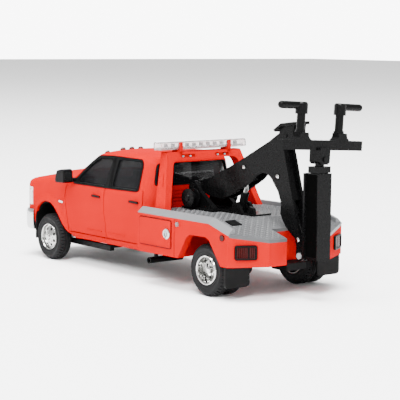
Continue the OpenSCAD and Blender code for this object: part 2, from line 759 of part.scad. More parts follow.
// fixed cylinder inside the down leg, from the knee pin to the lower pin
module fold_cylinder() color(black) truck() {
    run = lower_pin - fold_pin;
    lean = atan2(run[0], run[1]);
    length = norm(run);
    difference() {
        translate([fold_pin[0], 0, fold_pin[1]]) rotate([0, lean, 0]) {
            cylinder(r = 0.95, h = length * 0.62, $fn = 32);
            cylinder(r = 0.5, h = length, $fn = 32);
            rotate([-90, 0, 0]) translate([0, 0, -0.9]) cylinder(r = 1.0, h = 1.8, $fn = 32);
            translate([0, 0, length]) rotate([-90, 0, 0]) translate([0, 0, -0.9]) cylinder(r = 0.85, h = 1.8, $fn = 32);
        }
        for (p = [fold_pin, lower_pin]) bar_y(p[0], p[1], pin_r, -3, 3, 32);
    }
}

// ---- lift cylinder -------------------------------------------------------

lift_run = rod_pin - trunnion;
lift_lean = atan2(lift_run[0], lift_run[1]);
lift_length = norm(lift_run);
barrel_up = 3.9;
barrel_down = 5.5;
rod_down = 3.8;
module on_lift() translate([trunnion[0], 0, trunnion[1]]) rotate([0, lift_lean, 0]) children();

module lift_barrel() color(black) truck() on_lift() {
    difference() {
        union() {
            translate([0, 0, -barrel_down]) cylinder(r = barrel_r, h = barrel_down + barrel_up, $fn = 40);
            rotate([-90, 0, 0]) translate([0, 0, -2.3]) cylinder(r = trunnion_r, h = 4.6, $fn = 32);
            rotate([-90, 0, 0]) translate([0, 0, -1.25]) cylinder(r = 0.9, h = 2.5, $fn = 32);
        }
        translate([0, 0, -barrel_down + 0.6]) cylinder(r = rod_r + running_gap, h = 20, $fn = 40);
    }
}

module lift_rod() color(chrome) truck() on_lift() {
    difference() {
        union() {
            translate([0, 0, -rod_down]) cylinder(r = rod_r, h = rod_down + lift_length, $fn = 40);
            translate([0, 0, lift_length]) rotate([-90, 0, 0]) translate([0, 0, -0.85])
                cylinder(r = 1.25, h = 1.7, $fn = 32);
        }
        translate([0, 0, lift_length]) rotate([-90, 0, 0]) translate([0, 0, -3])
            cylinder(r = pin_r + 0.33, h = 6, $fn = 32);
    }
}

// ---- wheel lift ----------------------------------------------------------

tube_x0 = -21.3;
tube_x1 = -17.5;
tube_low = 9.8;
tube_wall = 0.48;
slide_gap = 0.12;

module stinger_tube() color(black) truck() {
    difference() {
        union() {
            block(tube_x0, tube_x1, -stinger_half_w, stinger_half_w, tube_low, stinger_top_z);
            // wide flange on the truck's side
            block(tube_x1, tube_x1 + 0.6, -2.75, 2.75, tube_low, stinger_top_z);
            // knuckle on the pivot
            side_plate(concat([[tube_x1, 13.4], [tube_x1, tube_low]],
                arc(stinger_pivot[0], stinger_pivot[1], 1.3, 250, 410, 12)), -1.1, 1.1);
            // toe under the tube
            block(tube_x0 + 0.4, tube_x1, -1.5, 1.5, tube_low - 0.5, tube_low);
        }
        block(tube_x0 + tube_wall, tube_x1 - tube_wall, -stinger_half_w + tube_wall, stinger_half_w - tube_wall,
            tube_low + 0.8, big);
        bar_y(stinger_pivot[0], stinger_pivot[1], pin_r + running_gap, -3, 3);
    }
}

bar_x0 = tube_x0 + tube_wall + slide_gap;
bar_x1 = tube_x1 - tube_wall - slide_gap;
bar_half_w = stinger_half_w - tube_wall - slide_gap;
collar_top = 31.6;
tongue_x0 = -20.0;
tongue_x1 = -18.8;
tongue_half_w = 0.9;
yoke_x0 = -21.2;
yoke_x1 = -17.6;
module extension_bar() color(black) truck() {
    difference() {
        union() {
            block(bar_x0, bar_x1, -bar_half_w, bar_half_w, 17, collar_top);
            block(tube_x0 + 0.2, tube_x1 - 0.2, -2.0, 2.0, stinger_top_z + 0.15, collar_top);
            block(tongue_x0, tongue_x1, -tongue_half_w, tongue_half_w, collar_top, swivel_z);
            bar_x(0, swivel_z, tongue_half_w, tongue_x0, tongue_x1, 32);
        }
        bar_x(0, swivel_z, pin_r + running_gap, -30, 0, 32);
    }
}

module tilted() translate([0, 0, swivel_z]) rotate([crossbar_tilt, 0, 0]) translate([0, 0, -swivel_z]) children();

beam_x0 = -20.4;
beam_x1 = -18.2;
beam_z0 = 35.4;
beam_z1 = 37.7;
post_x = -18.9;
post_top = 45.7;
sleeve_r = 1.45;
sleeve_low = 43.6;
sleeve_top = 46.4;
module crossbar() color(black) truck() tilted() {
    difference() {
        union() {
            block(beam_x0, beam_x1, -crossbar_half_l, crossbar_half_l, beam_z0, beam_z1);
            // yoke over the tongue
            front_plate([[-1.0, 32.1], [-1.6, 32.7], [-1.6, beam_z0], [1.6, beam_z0], [1.6, 32.7], [1.0, 32.1]],
                yoke_x0, yoke_x1);
            block(yoke_x0, yoke_x1, -1.6, 1.6, beam_z0, beam_z0 + 0.6);
            // flared bosses and posts
            both_sides() {
                front_plate([[post_y - 2.3, beam_z1], [post_y - 1.5, beam_z1 + 0.7], [post_y - 1.3, beam_z1 + 1.7],
                    [post_y + 1.3, beam_z1 + 1.7], [post_y + 1.5, beam_z1 + 0.7], [post_y + 2.3, beam_z1]],
                    beam_x0, beam_x1);
                translate([post_x, post_y, beam_z1]) cylinder(r = post_r, h = post_top - beam_z1, $fn = 40);
                translate([post_x, post_y, beam_z1]) cylinder(r = post_r + 0.25, h = 2.2, $fn = 40);
            }
        }
        // slot for the tongue
        block(tongue_x0 - slide_gap, tongue_x1 + slide_gap, -1.27, 1.27, 30, 34.5);
        bar_x(0, swivel_z, pin_r, -30, 0, 32);
    }
}

module swivel_pin() color(black) truck() {
    bar_x(0, swivel_z, pin_r, yoke_x0 - 0.2, yoke_x1, 32);
    bar_x(0, swivel_z, 0.65, tail_x, yoke_x0, 32);
}

arm_r = 0.87;
module l_arm() {
    difference() {
        union() {
            translate([post_x, post_y, sleeve_low]) cylinder(r = sleeve_r, h = sleeve_top - sleeve_low - 0.4, $fn = 40);
            translate([post_x, post_y, sleeve_top - 0.4]) cylinder(r1 = sleeve_r, r2 = sleeve_r - 0.4, h = 0.4, $fn = 40);
            turned_y(post_x, sleeve_top - arm_r, concat([[0, post_y], [arm_r, post_y]],
                [for (a = [0:15:75]) [arm_r * cos(a), post_y + arm_reach - arm_r + arm_r * sin(a)]],
                [[0, post_y + arm_reach]]), 32);
        }
        translate([post_x, post_y, sleeve_low - 1]) cylinder(r = post_r + running_gap, h = post_top + 0.2 - sleeve_low + 1, $fn = 40);
    }
}

module l_arm_left() color(black) truck() tilted() l_arm();
module l_arm_right() color(black) truck() tilted()
    translate([post_x, 0, 0]) rotate([0, 0, 180]) translate([-post_x, 0, 0]) l_arm();

// ---- wheels --------------------------------------------------------------

// outline of a tyre between two faces, as [radius, y]
function tyre_outline(face0, face1) = [
    [rim_r, face0 + 0.25], [rim_r + 0.8, face0], [tyre_r - 0.7, face0 + 0.12], [tyre_r - 0.12, face0 + 0.6],
    [tyre_r, face0 + 1.0], [tyre_r, face1 - 1.0], [tyre_r - 0.12, face1 - 0.6], [tyre_r - 0.7, face1 - 0.12],
    [rim_r + 0.8, face1], [rim_r, face1 - 0.25]];

module front_tyre() turned_y(wheelbase, axle_z, tyre_outline(front_tyre_face - front_tyre_w, front_tyre_face));

module front_wheel() {
    face = front_tyre_face;
    difference() {
        turned_y(wheelbase, axle_z,
            [[0, face + 0.6], [0.9, face + 0.55], [1.25, face + 0.2], [1.4, face - 0.1], [2.6, face - 0.4],
             [3.15, face - 0.9], [3.25, face - 0.35], [rim_r, face - 0.2], [rim_r, face - 3.7], [3.2, face - 3.7],
             [3.0, face - 1.8], [axle_r, face - 1.5], [axle_r, face - 0.4], [0, face - 0.4]]);
        for (a = [22.5:45:359]) translate([wheelbase, 0, axle_z]) rotate([0, a, 0]) translate([2.3, 0, 0])
            rotate([-90, 0, 0]) cylinder(r = 0.42, h = 30, $fn = 24);
    }
}

module front_axle() color(silver) truck() {
    bar_y(wheelbase, axle_z, axle_r, -front_tyre_face + 0.4, front_tyre_face - 0.4);
}
module front_wheel_left() color(chrome) truck() front_wheel();
module front_wheel_right() color(chrome) truck() mirror([0, 1, 0]) front_wheel();
module front_tyre_left() color(rubber) truck() front_tyre();
module front_tyre_right() color(rubber) truck() mirror([0, 1, 0]) front_tyre();

module rear_wheel() {
    face = rear_tyre_face;
    inner = face - 2 * rear_tyre_w - dual_gap;
    difference() {
        turned_y(0, axle_z,
            [[0, face - 0.7], [0.9, face - 0.75], [1.15, face - 1.0], [1.2, face - 2.2], [2.6, face - 2.4],
             [3.05, face - 2.0], [3.15, face - 0.2], [3.3, face], [rim_r, face], [rim_r, inner], [3.2, inner],
             [3.1, face - 3.3], [axle_r, face - 3.0], [axle_r, face - 1.3], [0, face - 1.3]]);
        for (a = [0:45:359]) translate([0, 0, axle_z]) rotate([0, a, 0]) translate([2.1, 0, 0])
            rotate([-90, 0, 0]) cylinder(r = 0.42, h = 30, $fn = 24);
    }
}

module rear_tyre_pair() {
    face = rear_tyre_face;
    turned_y(0, axle_z, tyre_outline(face - rear_tyre_w, face));
    turned_y(0, axle_z, tyre_outline(face - 2 * rear_tyre_w - dual_gap, face - rear_tyre_w - dual_gap));
}

module rear_axle() color(silver) truck() {
    bar_y(0, axle_z, axle_r, -rear_tyre_face + 1.3, rear_tyre_face - 1.3);
}
module rear_wheel_left() color(chrome) truck() rear_wheel();
module rear_wheel_right() color(chrome) truck() mirror([0, 1, 0]) rear_wheel();
module rear_tyres_left() color(rubber) truck() rear_tyre_pair();
module rear_tyres_right() color(rubber) truck() mirror([0, 1, 0]) rear_tyre_pair();

cab_body();
cab_glazing();
interior_tub();
seats();
dashboard();
steering_wheel();
chassis_frame();
chassis_rivets();
front_bumper();
grille();
headlamps();
clearance_lights();
mirror_left();
mirror_right();
door_handles();
side_bars();
exhaust_pipe();
wrecker_body();
deck_plate();
deck_rails();
deck_pads();
toolbox_doors();
toolbox_latches();
front_markers();
rear_markers();
tail_lamp_frames();
tail_lamp_lenses();
mud_flaps();
headache_rack();
work_lamps();
light_bar_lens();
light_bar_mounts();
boom_mount();
winch_drums();
cylinder_bracket();
boom_frame();
boom_pins();
boom_pivot_pin();
head_cover();
head_sheave();
fold_cylinder();
lift_barrel();
lift_rod();
stinger_tube();
stinger_pin();
extension_bar();
crossbar();
swivel_pin();
l_arm_left();
l_arm_right();
front_axle();
front_wheel_left();
front_wheel_right();
front_tyre_left();
front_tyre_right();
rear_axle();
rear_wheel_left();
rear_wheel_right();
rear_tyres_left();
rear_tyres_right();
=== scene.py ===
import json
import math

import bmesh
import bpy
import numpy as np
from mathutils import Matrix, Vector

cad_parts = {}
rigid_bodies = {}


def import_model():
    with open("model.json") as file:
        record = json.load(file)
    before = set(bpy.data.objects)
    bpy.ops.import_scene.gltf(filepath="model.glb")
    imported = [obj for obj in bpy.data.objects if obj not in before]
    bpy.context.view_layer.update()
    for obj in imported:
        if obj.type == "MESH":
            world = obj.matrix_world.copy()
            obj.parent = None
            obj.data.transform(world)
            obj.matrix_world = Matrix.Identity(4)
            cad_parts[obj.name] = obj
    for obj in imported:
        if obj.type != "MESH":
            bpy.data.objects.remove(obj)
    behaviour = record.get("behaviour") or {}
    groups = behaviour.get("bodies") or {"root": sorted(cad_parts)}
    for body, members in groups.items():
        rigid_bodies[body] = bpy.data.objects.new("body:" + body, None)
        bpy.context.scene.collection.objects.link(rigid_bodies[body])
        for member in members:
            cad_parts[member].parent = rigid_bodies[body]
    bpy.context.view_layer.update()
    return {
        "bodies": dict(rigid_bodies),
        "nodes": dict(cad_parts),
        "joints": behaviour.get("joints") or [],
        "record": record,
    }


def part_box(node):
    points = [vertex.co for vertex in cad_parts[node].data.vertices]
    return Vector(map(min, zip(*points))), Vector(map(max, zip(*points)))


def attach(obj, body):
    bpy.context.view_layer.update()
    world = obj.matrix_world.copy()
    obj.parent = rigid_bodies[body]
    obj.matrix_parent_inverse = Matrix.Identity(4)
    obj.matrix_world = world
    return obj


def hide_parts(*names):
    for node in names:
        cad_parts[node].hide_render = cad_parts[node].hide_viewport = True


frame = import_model()
nodes = frame["nodes"]
slots = {s["node"]: s["material_slot"] for s in frame["record"]["subparts"]}

# Every size below is in millimetres in axle coordinates: x = 0 at the rear axle, z = 0 on the floor.
MM = 0.001


def face_of(node, end, axis):
    """One side of a CAD node's box in millimetres: end 0 is the low side and end 1 the high side."""
    return round(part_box(node)[end][axis] / MM, 3)


def middle_of(node, axis):
    """The middle of a CAD node's box along an axis, in millimetres."""
    return round((face_of(node, 0, axis) + face_of(node, 1, axis)) / 2, 3)


AXLE_X, AXLE_Z = middle_of("rear_axle", 0), middle_of("rear_axle", 2)
WHEELBASE = round(middle_of("front_axle", 0) - AXLE_X, 3)


def point(x, y, z):
    """A point in axle coordinates as a row-frame vector in metres."""
    return Vector(((x + AXLE_X) * MM, y * MM, z * MM))


# ---- camera ------------------------------------------------------------------
def make_camera():
    """The photograph's view: a long lens, from behind on the left and a little above."""
    az, el, roll = (math.radians(angle) for angle in (229.972, 6.648, 0.5947))
    target, distance, lens = point(19.233, 3.652, 20.278), 0.349, 124.34
    back = Vector((math.sin(az) * math.cos(el), -math.cos(az) * math.cos(el), math.sin(el)))
    x = Vector((0, 0, 1)).cross(back).normalized()
    y = back.cross(x)
    c, s = math.cos(roll), math.sin(roll)
    x, y = c * x + s * y, c * y - s * x
    cam = bpy.data.objects.new("camera", bpy.data.cameras.new("camera"))
    cam.data.sensor_width = 36.0
    cam.data.lens = lens
    cam.data.clip_start, cam.data.clip_end = 0.01, 20
    m = Matrix((x, y, back)).transposed().to_4x4()
    m.translation = target + back * distance
    cam.matrix_world = m
    bpy.context.collection.objects.link(cam)
    bpy.context.scene.camera = cam


make_camera()


# ---- materials ---------------------------------------------------------------
NOISE_SCALES = {"mottle": 180.0, "gloss": 900.0, "grain": 5000.0}
GRAIN_DEPTH = 0.00002


def ramp(nt, fac, stops):
    """A colour ramp node on an input, from (position, colour) or (position, (grey level,)) stops."""
    node = nt.nodes.new("ShaderNodeValToRGB")
    nt.links.new(fac, node.inputs[0])
    els = node.color_ramp.elements
    while len(els) < len(stops):
        els.new(0.5)
    for el, (pos, col) in zip(els, stops):
        el.position = pos
        el.color = (*col, 1) if len(col) == 3 else (col[0], col[0], col[0], 1)
    return node.outputs[0]


def material(name, color, rough, metallic=0.0, coat=0.0, coat_rough=0.05, vary=0.06, bump=0.12,
             rough_vary=0.08, spec=0.2, transmission=0.0, ior=1.45, alpha=1.0):
    """A moulded or painted surface: mottled colour, uneven gloss and a fine grain in the bump."""
    m = bpy.data.materials.new(name)
    m.use_nodes = True
    nt = m.node_tree
    b = nt.nodes["Principled BSDF"]
    co = nt.nodes.new("ShaderNodeTexCoord").outputs["Object"]

    def noise(kind, detail):
        n = nt.nodes.new("ShaderNodeTexNoise")
        n.inputs["Scale"].default_value = NOISE_SCALES[kind]
        n.inputs["Detail"].default_value = detail
        nt.links.new(co, n.inputs["Vector"])
        return n.outputs["Fac"]

    lo = [c * (1 - vary) for c in color]
    hi = [min(1.0, c * (1 + vary)) for c in color]
    nt.links.new(ramp(nt, noise("mottle", 3.0), [(0.3, lo), (0.7, hi)]), b.inputs["Base Color"])
    r0, r1 = max(0.02, rough - rough_vary), min(1.0, rough + rough_vary)
    nt.links.new(ramp(nt, noise("gloss", 4.0), [(0.3, (r0,)), (0.7, (r1,))]), b.inputs["Roughness"])
    b.inputs["Metallic"].default_value = metallic
    b.inputs["Specular IOR Level"].default_value = spec
    b.inputs["Coat Weight"].default_value = coat
    b.inputs["Coat Roughness"].default_value = coat_rough
    b.inputs["Transmission Weight"].default_value = transmission
    b.inputs["IOR"].default_value = ior
    b.inputs["Alpha"].default_value = alpha
    bp = nt.nodes.new("ShaderNodeBump")
    bp.inputs["Strength"].default_value = bump
    bp.inputs["Distance"].default_value = GRAIN_DEPTH
    nt.links.new(noise("grain", 2.0), bp.inputs["Height"])
    nt.links.new(bp.outputs["Normal"], b.inputs["Normal"])
    return m


SURFACES = {
    "red_paint": dict(color=(0.31, 0.0003, 0.0010), rough=0.20, coat=0.025, coat_rough=0.04, vary=0.035,
                      rough_vary=0.05, spec=0.0),
    "black_satin": dict(color=(0.0018, 0.0018, 0.0019), rough=0.26, vary=0.08, spec=0.05),
    "chassis_black": dict(color=(0.002, 0.002, 0.0021), rough=0.55, vary=0.2, bump=0.3, spec=0.04),
    "black_trim": dict(color=(0.0022, 0.0022, 0.0023), rough=0.42, vary=0.2, bump=0.25, spec=0.05),
    "black_interior": dict(color=(0.004, 0.004, 0.0042), rough=0.6, vary=0.2, bump=0.3, spec=0.06),
    "smoked_glazing": dict(color=(0.005, 0.005, 0.0056), rough=0.05, vary=0.05, bump=0.02,
                           rough_vary=0.02, spec=0.12, alpha=0.72),
    "clear_lens": dict(color=(0.90, 0.84, 0.84), rough=0.06, vary=0.03, bump=0.05, rough_vary=0.03,
                       transmission=0.92, ior=1.42, spec=0.5),
    "white_lens": dict(color=(0.22, 0.22, 0.225), rough=0.2, vary=0.03, spec=0.3),
    "amber_lens": dict(color=(0.035, 0.0015, 0.001), rough=0.15, spec=0.2),
    # lighter than the deck: partly worn tops, partly a painted highlight for the light the raised lozenges
    # catch
    "tread_wear_and_highlight_grey": dict(color=(0.070, 0.071, 0.073), rough=0.3, vary=0.06, spec=0.3),
    "screw_silver": dict(color=(0.16, 0.16, 0.165), rough=0.2, vary=0.05, spec=0.5),
    # painted shade: a flat black for the sheets on the sides of the stinger tube
    "painted_shade_black": dict(color=(0.0006, 0.0006, 0.0006), rough=0.7, vary=0.1, spec=0.01),
    "lamp_base": dict(color=(0.22, 0.05, 0.045), rough=0.3, vary=0.05, spec=0.1),
    "red_lens": dict(color=(0.022, 0.0006, 0.0005), rough=0.15, spec=0.12),
    "deck_grey": dict(color=(0.050, 0.051, 0.053), rough=0.36, vary=0.06, spec=0.25),
    "rail_grey": dict(color=(0.092, 0.093, 0.096), rough=0.36, vary=0.04, spec=0.25),
    "bright_chrome": dict(color=(0.42, 0.42, 0.41), rough=0.07, metallic=1.0, vary=0.03, rough_vary=0.03,
                          bump=0.05),
    "bumper_silver": dict(color=(0.50, 0.50, 0.51), rough=0.16, metallic=1.0, vary=0.04, spec=0.3),
    "rivet_steel": dict(color=(0.3, 0.3, 0.31), rough=0.35, metallic=1.0, vary=0.1),
    "tyre_rubber": dict(color=(0.0060, 0.0060, 0.0063), rough=0.62, vary=0.15, bump=0.3, spec=0.08),
}
MATS = {name: material(name, **look) for name, look in SURFACES.items()}


# ---- mesh helpers --------------------------------------------------------------
def to_row(points):
    """Points in axle millimetres as row-frame metres."""
    p = np.asarray(points, dtype=float).reshape(-1, 3) * MM
    p[:, 0] += AXLE_X * MM
    return p


def mesh_object(name, points, faces):
    """A closed mesh from points in axle millimetres, with its faces turned outward."""
    mesh = bpy.data.meshes.new(name)
    mesh.from_pydata([tuple(p) for p in to_row(points)], [], [tuple(int(i) for i in f) for f in faces])
    bm = bmesh.new()
    bm.from_mesh(mesh)
    bmesh.ops.recalc_face_normals(bm, faces=bm.faces)
    bm.to_mesh(mesh)
    bm.free()
    ob = bpy.data.objects.new(name, mesh)
    bpy.context.collection.objects.link(ob)
    return ob


def round_edges(ob, width, angle):
    """A bevel modifier on the edges that turn by more than an angle."""
    bevel = ob.modifiers.new("edge", "BEVEL")
    bevel.width, bevel.segments = width * MM, 2
    bevel.limit_method, bevel.angle_limit = "ANGLE", math.radians(angle)


def finish_piece(ob, slot, body="truck", replaces=(), sharp=30, bevel=0.0, look=None):
    """Give a piece its material, its body, its shading and, if asked, a small rounding of its edges."""
    ob.data.materials.clear()
    ob.data.materials.append(MATS[look or slot])
    if bevel:
        round_edges(ob, bevel, 30)
    ob.data.polygons.foreach_set("use_smooth", [True] * len(ob.data.polygons))
    ob.data.set_sharp_from_angle(angle=math.radians(sharp))
    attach(ob, body)
    if replaces:
        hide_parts(*replaces)


def prism(outline, axis, a, b):
    """A closed prism from an outline: [x, z] along y, [y, z] along x, or [x, y] along z."""
    n = len(outline)
    place = {"x": lambda u, v, t: (t, u, v),
             "y": lambda u, v, t: (u, t, v),
             "z": lambda u, v, t: (u, v, t)}[axis]
    points = [place(u, v, t) for t in (a, b) for u, v in outline]
    faces = [tuple(range(n)), tuple(range(2 * n - 1, n - 1, -1))]
    faces += [(i, (i + 1) % n, n + (i + 1) % n, n + i) for i in range(n)]
    return points, faces


def box(x0, x1, y0, y1, z0, z1):
    """A block between two faces along each axis."""
    return prism([(x0, z0), (x1, z0), (x1, z1), (x0, z1)], "y", y0, y1)


def revolve(profile, cx, cz, sides):
    """A solid turned about a line along y through (cx, cz), from a closed [radius, y] outline."""
    n = len(profile)
    points, faces = [], []
    for k in range(sides):
        a = 2 * math.pi * k / sides
        points += [(cx + r * math.cos(a), y, cz + r * math.sin(a)) for r, y in profile]
    for k in range(sides):
        for i in range(n):
            j, k2 = (i + 1) % n, (k + 1) % sides
            faces.append((k * n + i, k * n + j, k2 * n + j, k2 * n + i))
    return points, faces


def disc_y(cx, cz, r, y0, y1, sides=24):
    """A short rod along y."""
    turns = [2 * math.pi * i / sides for i in range(sides)]
    return prism([(cx + r * math.cos(a), cz + r * math.sin(a)) for a in turns], "y", y0, y1)


def flip(part, keep=False):
    """The mirror image of a part across the middle plane, alone or with the part itself."""
    points, faces = part
    image = [(x, -y, z) for x, y, z in points]
    if not keep:
        return image, faces
    return join([part, (image, faces)])


def join(parts):
    """Several parts as one part, side by side in one mesh."""
    points, faces = [], []
    for p, f in parts:
        base = len(points)
        points += list(p)
        faces += [tuple(i + base for i in face) for face in f]
    return points, faces


def rounded(outline, r):
    """An outline with every corner cut back by r and rounded."""
    out, steps = [], 4
    n = len(outline)
    for i in range(n):
        p0, p1, p2 = (np.array(outline[(i + k) % n], dtype=float) for k in (-1, 0, 1))
        a, b = p0 - p1, p2 - p1
        la, lb = np.linalg.norm(a), np.linalg.norm(b)
        reach = min(r, la * 0.45, lb * 0.45)
        a, b = p1 + a / la * reach, p1 + b / lb * reach
        for k in range(steps + 1):
            t = k / steps
            out.append(tuple((1 - t) ** 2 * a + 2 * t * (1 - t) * p1 + t ** 2 * b))
    return out


def ribbon(line, width):
    """A thin strip outline along a polyline."""
    p = np.array(line, dtype=float)
    d = np.gradient(p, axis=0)
    d /= np.linalg.norm(d, axis=1)[:, None]
    side = np.stack([-d[:, 1], d[:, 0]], axis=1) * width / 2
    return [tuple(q) for q in np.concatenate([p + side, (p - side)[::-1]])]


def spread(outline, by):
    """An outline with every point moved straight away from its centre."""
    centre = np.mean(outline, axis=0)
    rays = np.array(outline) - centre
    return [tuple(p) for p in outline + rays / np.linalg.norm(rays, axis=1)[:, None] * by]


def outset(outline, by):
    """An outline moved outward along its own normals, for outlines that turn gently."""
    p = np.array(outline, dtype=float)
    d = np.roll(p, -1, axis=0) - np.roll(p, 1, axis=0)
    d /= np.linalg.norm(d, axis=1)[:, None]
    n = np.stack([d[:, 1], -d[:, 0]], axis=1)
    area2 = np.sum(p[:, 0] * np.roll(p[:, 1], -1) - np.roll(p[:, 0], -1) * p[:, 1])
    return [tuple(q) for q in p + n * by * (1 if area2 > 0 else -1)]


def curve_through(points, n):
    """A smooth line through a few points, as a Catmull-Rom curve."""
    p = np.array([points[0]] + list(points) + [points[-1]], dtype=float)
    out = []
    for i in range(1, len(p) - 2):
        for k in range(n):
            t = k / n
            a, b, c, d = p[i - 1:i + 3]
            out.append(0.5 * (2 * b + (c - a) * t + (2 * a - 5 * b + 4 * c - d) * t * t
                              + (3 * b - a - 3 * c + d) * t ** 3))
    out.append(p[-2])
    return [tuple(q) for q in out]


def cut(ob, tools, operation="DIFFERENCE"):
    """Apply one boolean with each tool in turn. The tools, parts or objects, are used up."""
    for tool in tools:
        other = mesh_object("tool", *tool) if isinstance(tool, tuple) else tool
        m = ob.modifiers.new("cut", "BOOLEAN")
        m.object, m.operation, m.solver = other, operation, "MANIFOLD"
        dep = bpy.context.evaluated_depsgraph_get()
        mesh = bpy.data.meshes.new_from_object(ob.evaluated_get(dep))
        ob.modifiers.remove(m)
        ob.data = mesh
        bpy.data.objects.remove(other)
    return ob


def common(ob, tool):
    """What an object shares with a tool."""
    return cut(ob, [tool], "INTERSECT")


def united(parts):
    """Parts that may overlap, as one solid to be used as a tool."""
    return cut(mesh_object("tool", *parts[0]), parts[1:], "UNION")


# ---- the cab's surface -----------------------------------------------------------
# side view of the roof, windscreen and hood: x, z
ROOF_LINE = [(24.0, 25.0), (25.6, 28.4), (26.5, 30.2), (28.4, 31.0), (37, 31.5), (44, 31.3), (47.0, 30.95),
             (49.4, 30.3), (52.3, 28.5), (58.8, 24.1), (66, 24.0), (73, 23.3), (78.6, 22.3), (81.6, 20.9),
             (82.7, 19.2), (83.4, 16.0)]
# the side's section from the sill to the roof: z, half width
DOOR_LINE = [(6.0, 13.7), (8.1, 14.5), (8.7, 15.35), (9.9, 15.66), (10.3, 15.84), (14.0, 15.93),
             (17.5, 15.93), (20.8, 15.78), (22.1, 15.5), (29.8, 13.45), (32.5, 12.73)]
# the nose from above: x, half width
NOSE_PLAN = [(20.0, 16.6), (77.2, 16.5), (79.7, 15.6), (81.1, 12.4), (82.1, 7.0), (82.65, 0.0)]
# edge of the front wheel opening: x, z
ARCH_LINE = [(75.8, 5.0), (75.5, 10.5), (74.7, 13.2), (73.4, 14.8), (71.6, 15.7), (69.5, 15.95), (67.5, 15.5),
             (65.2, 13.8), (62.3, 10.5), (60.0, 7.9), (58.6, 5.0)]
CAB_REAR, CAB_CENTRE_Z, CAB_FLOOR = 25.6, 16.0, 6.75
CORNER_R = 7.0


def smooth_line(line, half_width):
    """A function for a polyline with its corners averaged over a short window, and its slope."""
    xs, zs = (np.array(c) for c in zip(*line))
    taps = np.linspace(-half_width, half_width, 7)

    def f(x):
        return sum(np.interp(x + t, xs, zs) for t in taps) / len(taps)

    def slope(x):
        return (f(x + 0.05) - f(x - 0.05)) / 0.1

    return f, slope


roof_z, roof_slope = smooth_line(ROOF_LINE, 0.7)
door_y, door_slope = smooth_line(DOOR_LINE, 0.25)
PLAN_X, PLAN_Y = zip(*NOSE_PLAN)


def soft_max(a, b, k):
    """The larger of two fields, rounded over a width k where they meet."""
    h = np.maximum(k - np.abs(a - b), 0) / k
    return np.maximum(a, b) + h * h * k / 4


def smoothstep(t):
    """A smooth rise from 0 to 1 as t goes from 0 to 1."""
    t = np.clip(t, 0, 1)
    return t * t * (3 - 2 * t)


def arch_distance(x, z):
    """Distance in the side view from the edge of the front wheel opening."""
    best = np.full(np.broadcast(x, z).shape, 99.0)
    for (x0, z0), (x1, z1) in zip(ARCH_LINE[:-1], ARCH_LINE[1:]):
        dx, dz = x1 - x0, z1 - z0
        t = np.clip(((x - x0) * dx + (z - z0) * dz) / (dx * dx + dz * dz), 0, 1)
        best = np.minimum(best, np.hypot(x - x0 - t * dx, z - z0 - t * dz))
    return best


def cab_field(x, y, z):
    """Signed distance, roughly, from the outer skin of the cab: negative inside."""
    w = np.abs(y)
    hood = smoothstep((x - 56) / 4)
    crown = (0.0017 + 0.0012 * hood) * w * w
    dome = 0.45 * hood * smoothstep((8.6 - w) / 1.6) * smoothstep((80 - x) / 4)
    # the windscreen and the front of the roof are bowed forward in plan
    bow = 4.0 * np.clip(1 - (w / 13.5) ** 2, 0, 1) * smoothstep((x - 38) / 8) * smoothstep((76 - x) / 9)
    top = (z + crown - dome - roof_z(x - bow)) / np.sqrt(1 + roof_slope(x - bow) ** 2)
    flare = 0.62 * smoothstep((1.7 - arch_distance(x, z)) / 0.75) * smoothstep((z - 7.0) / 1.5)
    side = (w - door_y(z) - flare) / np.sqrt(1 + door_slope(z) ** 2)
    plan = (w - np.interp(x, PLAN_X, PLAN_Y, right=-30)) * 0.55
    # the rear corners are turned on a large radius
    side = soft_max(side, CAB_REAR - x, CORNER_R)
    body = soft_max(top, side, 1.2 + 0.5 * hood)
    body = soft_max(body, plan, 0.8)
    return soft_max(body, CAB_FLOOR - z, 0.3)


def solve_out(field, lo, hi, steps=34):
    """Bisection for the outermost crossing between lo (inside) and hi (outside)."""
    for _ in range(steps):
        mid = (lo + hi) / 2
        inside = field(mid) < 0
        lo = np.where(inside, mid, lo)
        hi = np.where(inside, hi, mid)
    return (lo + hi) / 2


def cab_loft(offset, around=168, step=0.5):
    """A closed mesh of the cab's skin moved inward by an offset: rings along x and a cap at each end."""
    caps, first_ring, last_ring = 14, 28.2, 79.3
    a = np.linspace(0, 2 * math.pi, around, endpoint=False)
    xs = np.arange(first_ring, last_ring, step)
    X, A = np.meshgrid(xs, a, indexing="ij")
    dy, dz = np.cos(A), np.sin(A)
    R = solve_out(lambda r: cab_field(X, r * dy, CAB_CENTRE_Z + r * dz) + offset, np.full(X.shape, 0.5),
                  np.full(X.shape, 30.0))
    rings = [np.stack([X[i], R[i] * dy[i], CAB_CENTRE_Z + R[i] * dz[i]], axis=1) for i in range(len(xs))]

    def cap(ring, sign):
        out = []
        for k in range(1, caps):
            s = 1 - (k / caps) ** 1.6
            y, z = ring[:, 1] * s, CAB_CENTRE_Z + (ring[:, 2] - CAB_CENTRE_Z) * s
            x = ring[:, 0] + sign * solve_out(lambda t: cab_field(ring[:, 0] + sign * t, y, z) + offset,
                                              np.zeros(around), np.full(around, 9.0))
            out.append(np.stack([x, y, z], axis=1))
        return out

    rings = cap(rings[0], -1)[::-1] + rings + cap(rings[-1], 1)
    points = np.concatenate(rings)
    ends = [rings[0].mean(axis=0), rings[-1].mean(axis=0)]
    points = np.concatenate([points, ends])
    n, m = around, len(rings)
    faces = []
    for i in range(m - 1):
        for j in range(n):
            k = (j + 1) % n
            faces.append((i * n + j, i * n + k, (i + 1) * n + k, (i + 1) * n + j))
    for j in range(n):
        k = (j + 1) % n
        faces.append((k, j, m * n))
        faces.append(((m - 1) * n + j, (m - 1) * n + k, m * n + 1))
    return points, faces


def cab_layer(name, outer, inner, **kw):
    """The cab's skin between two offsets."""
    return cut(mesh_object(name, *cab_loft(outer, **kw)), [cab_loft(inner, **kw)])


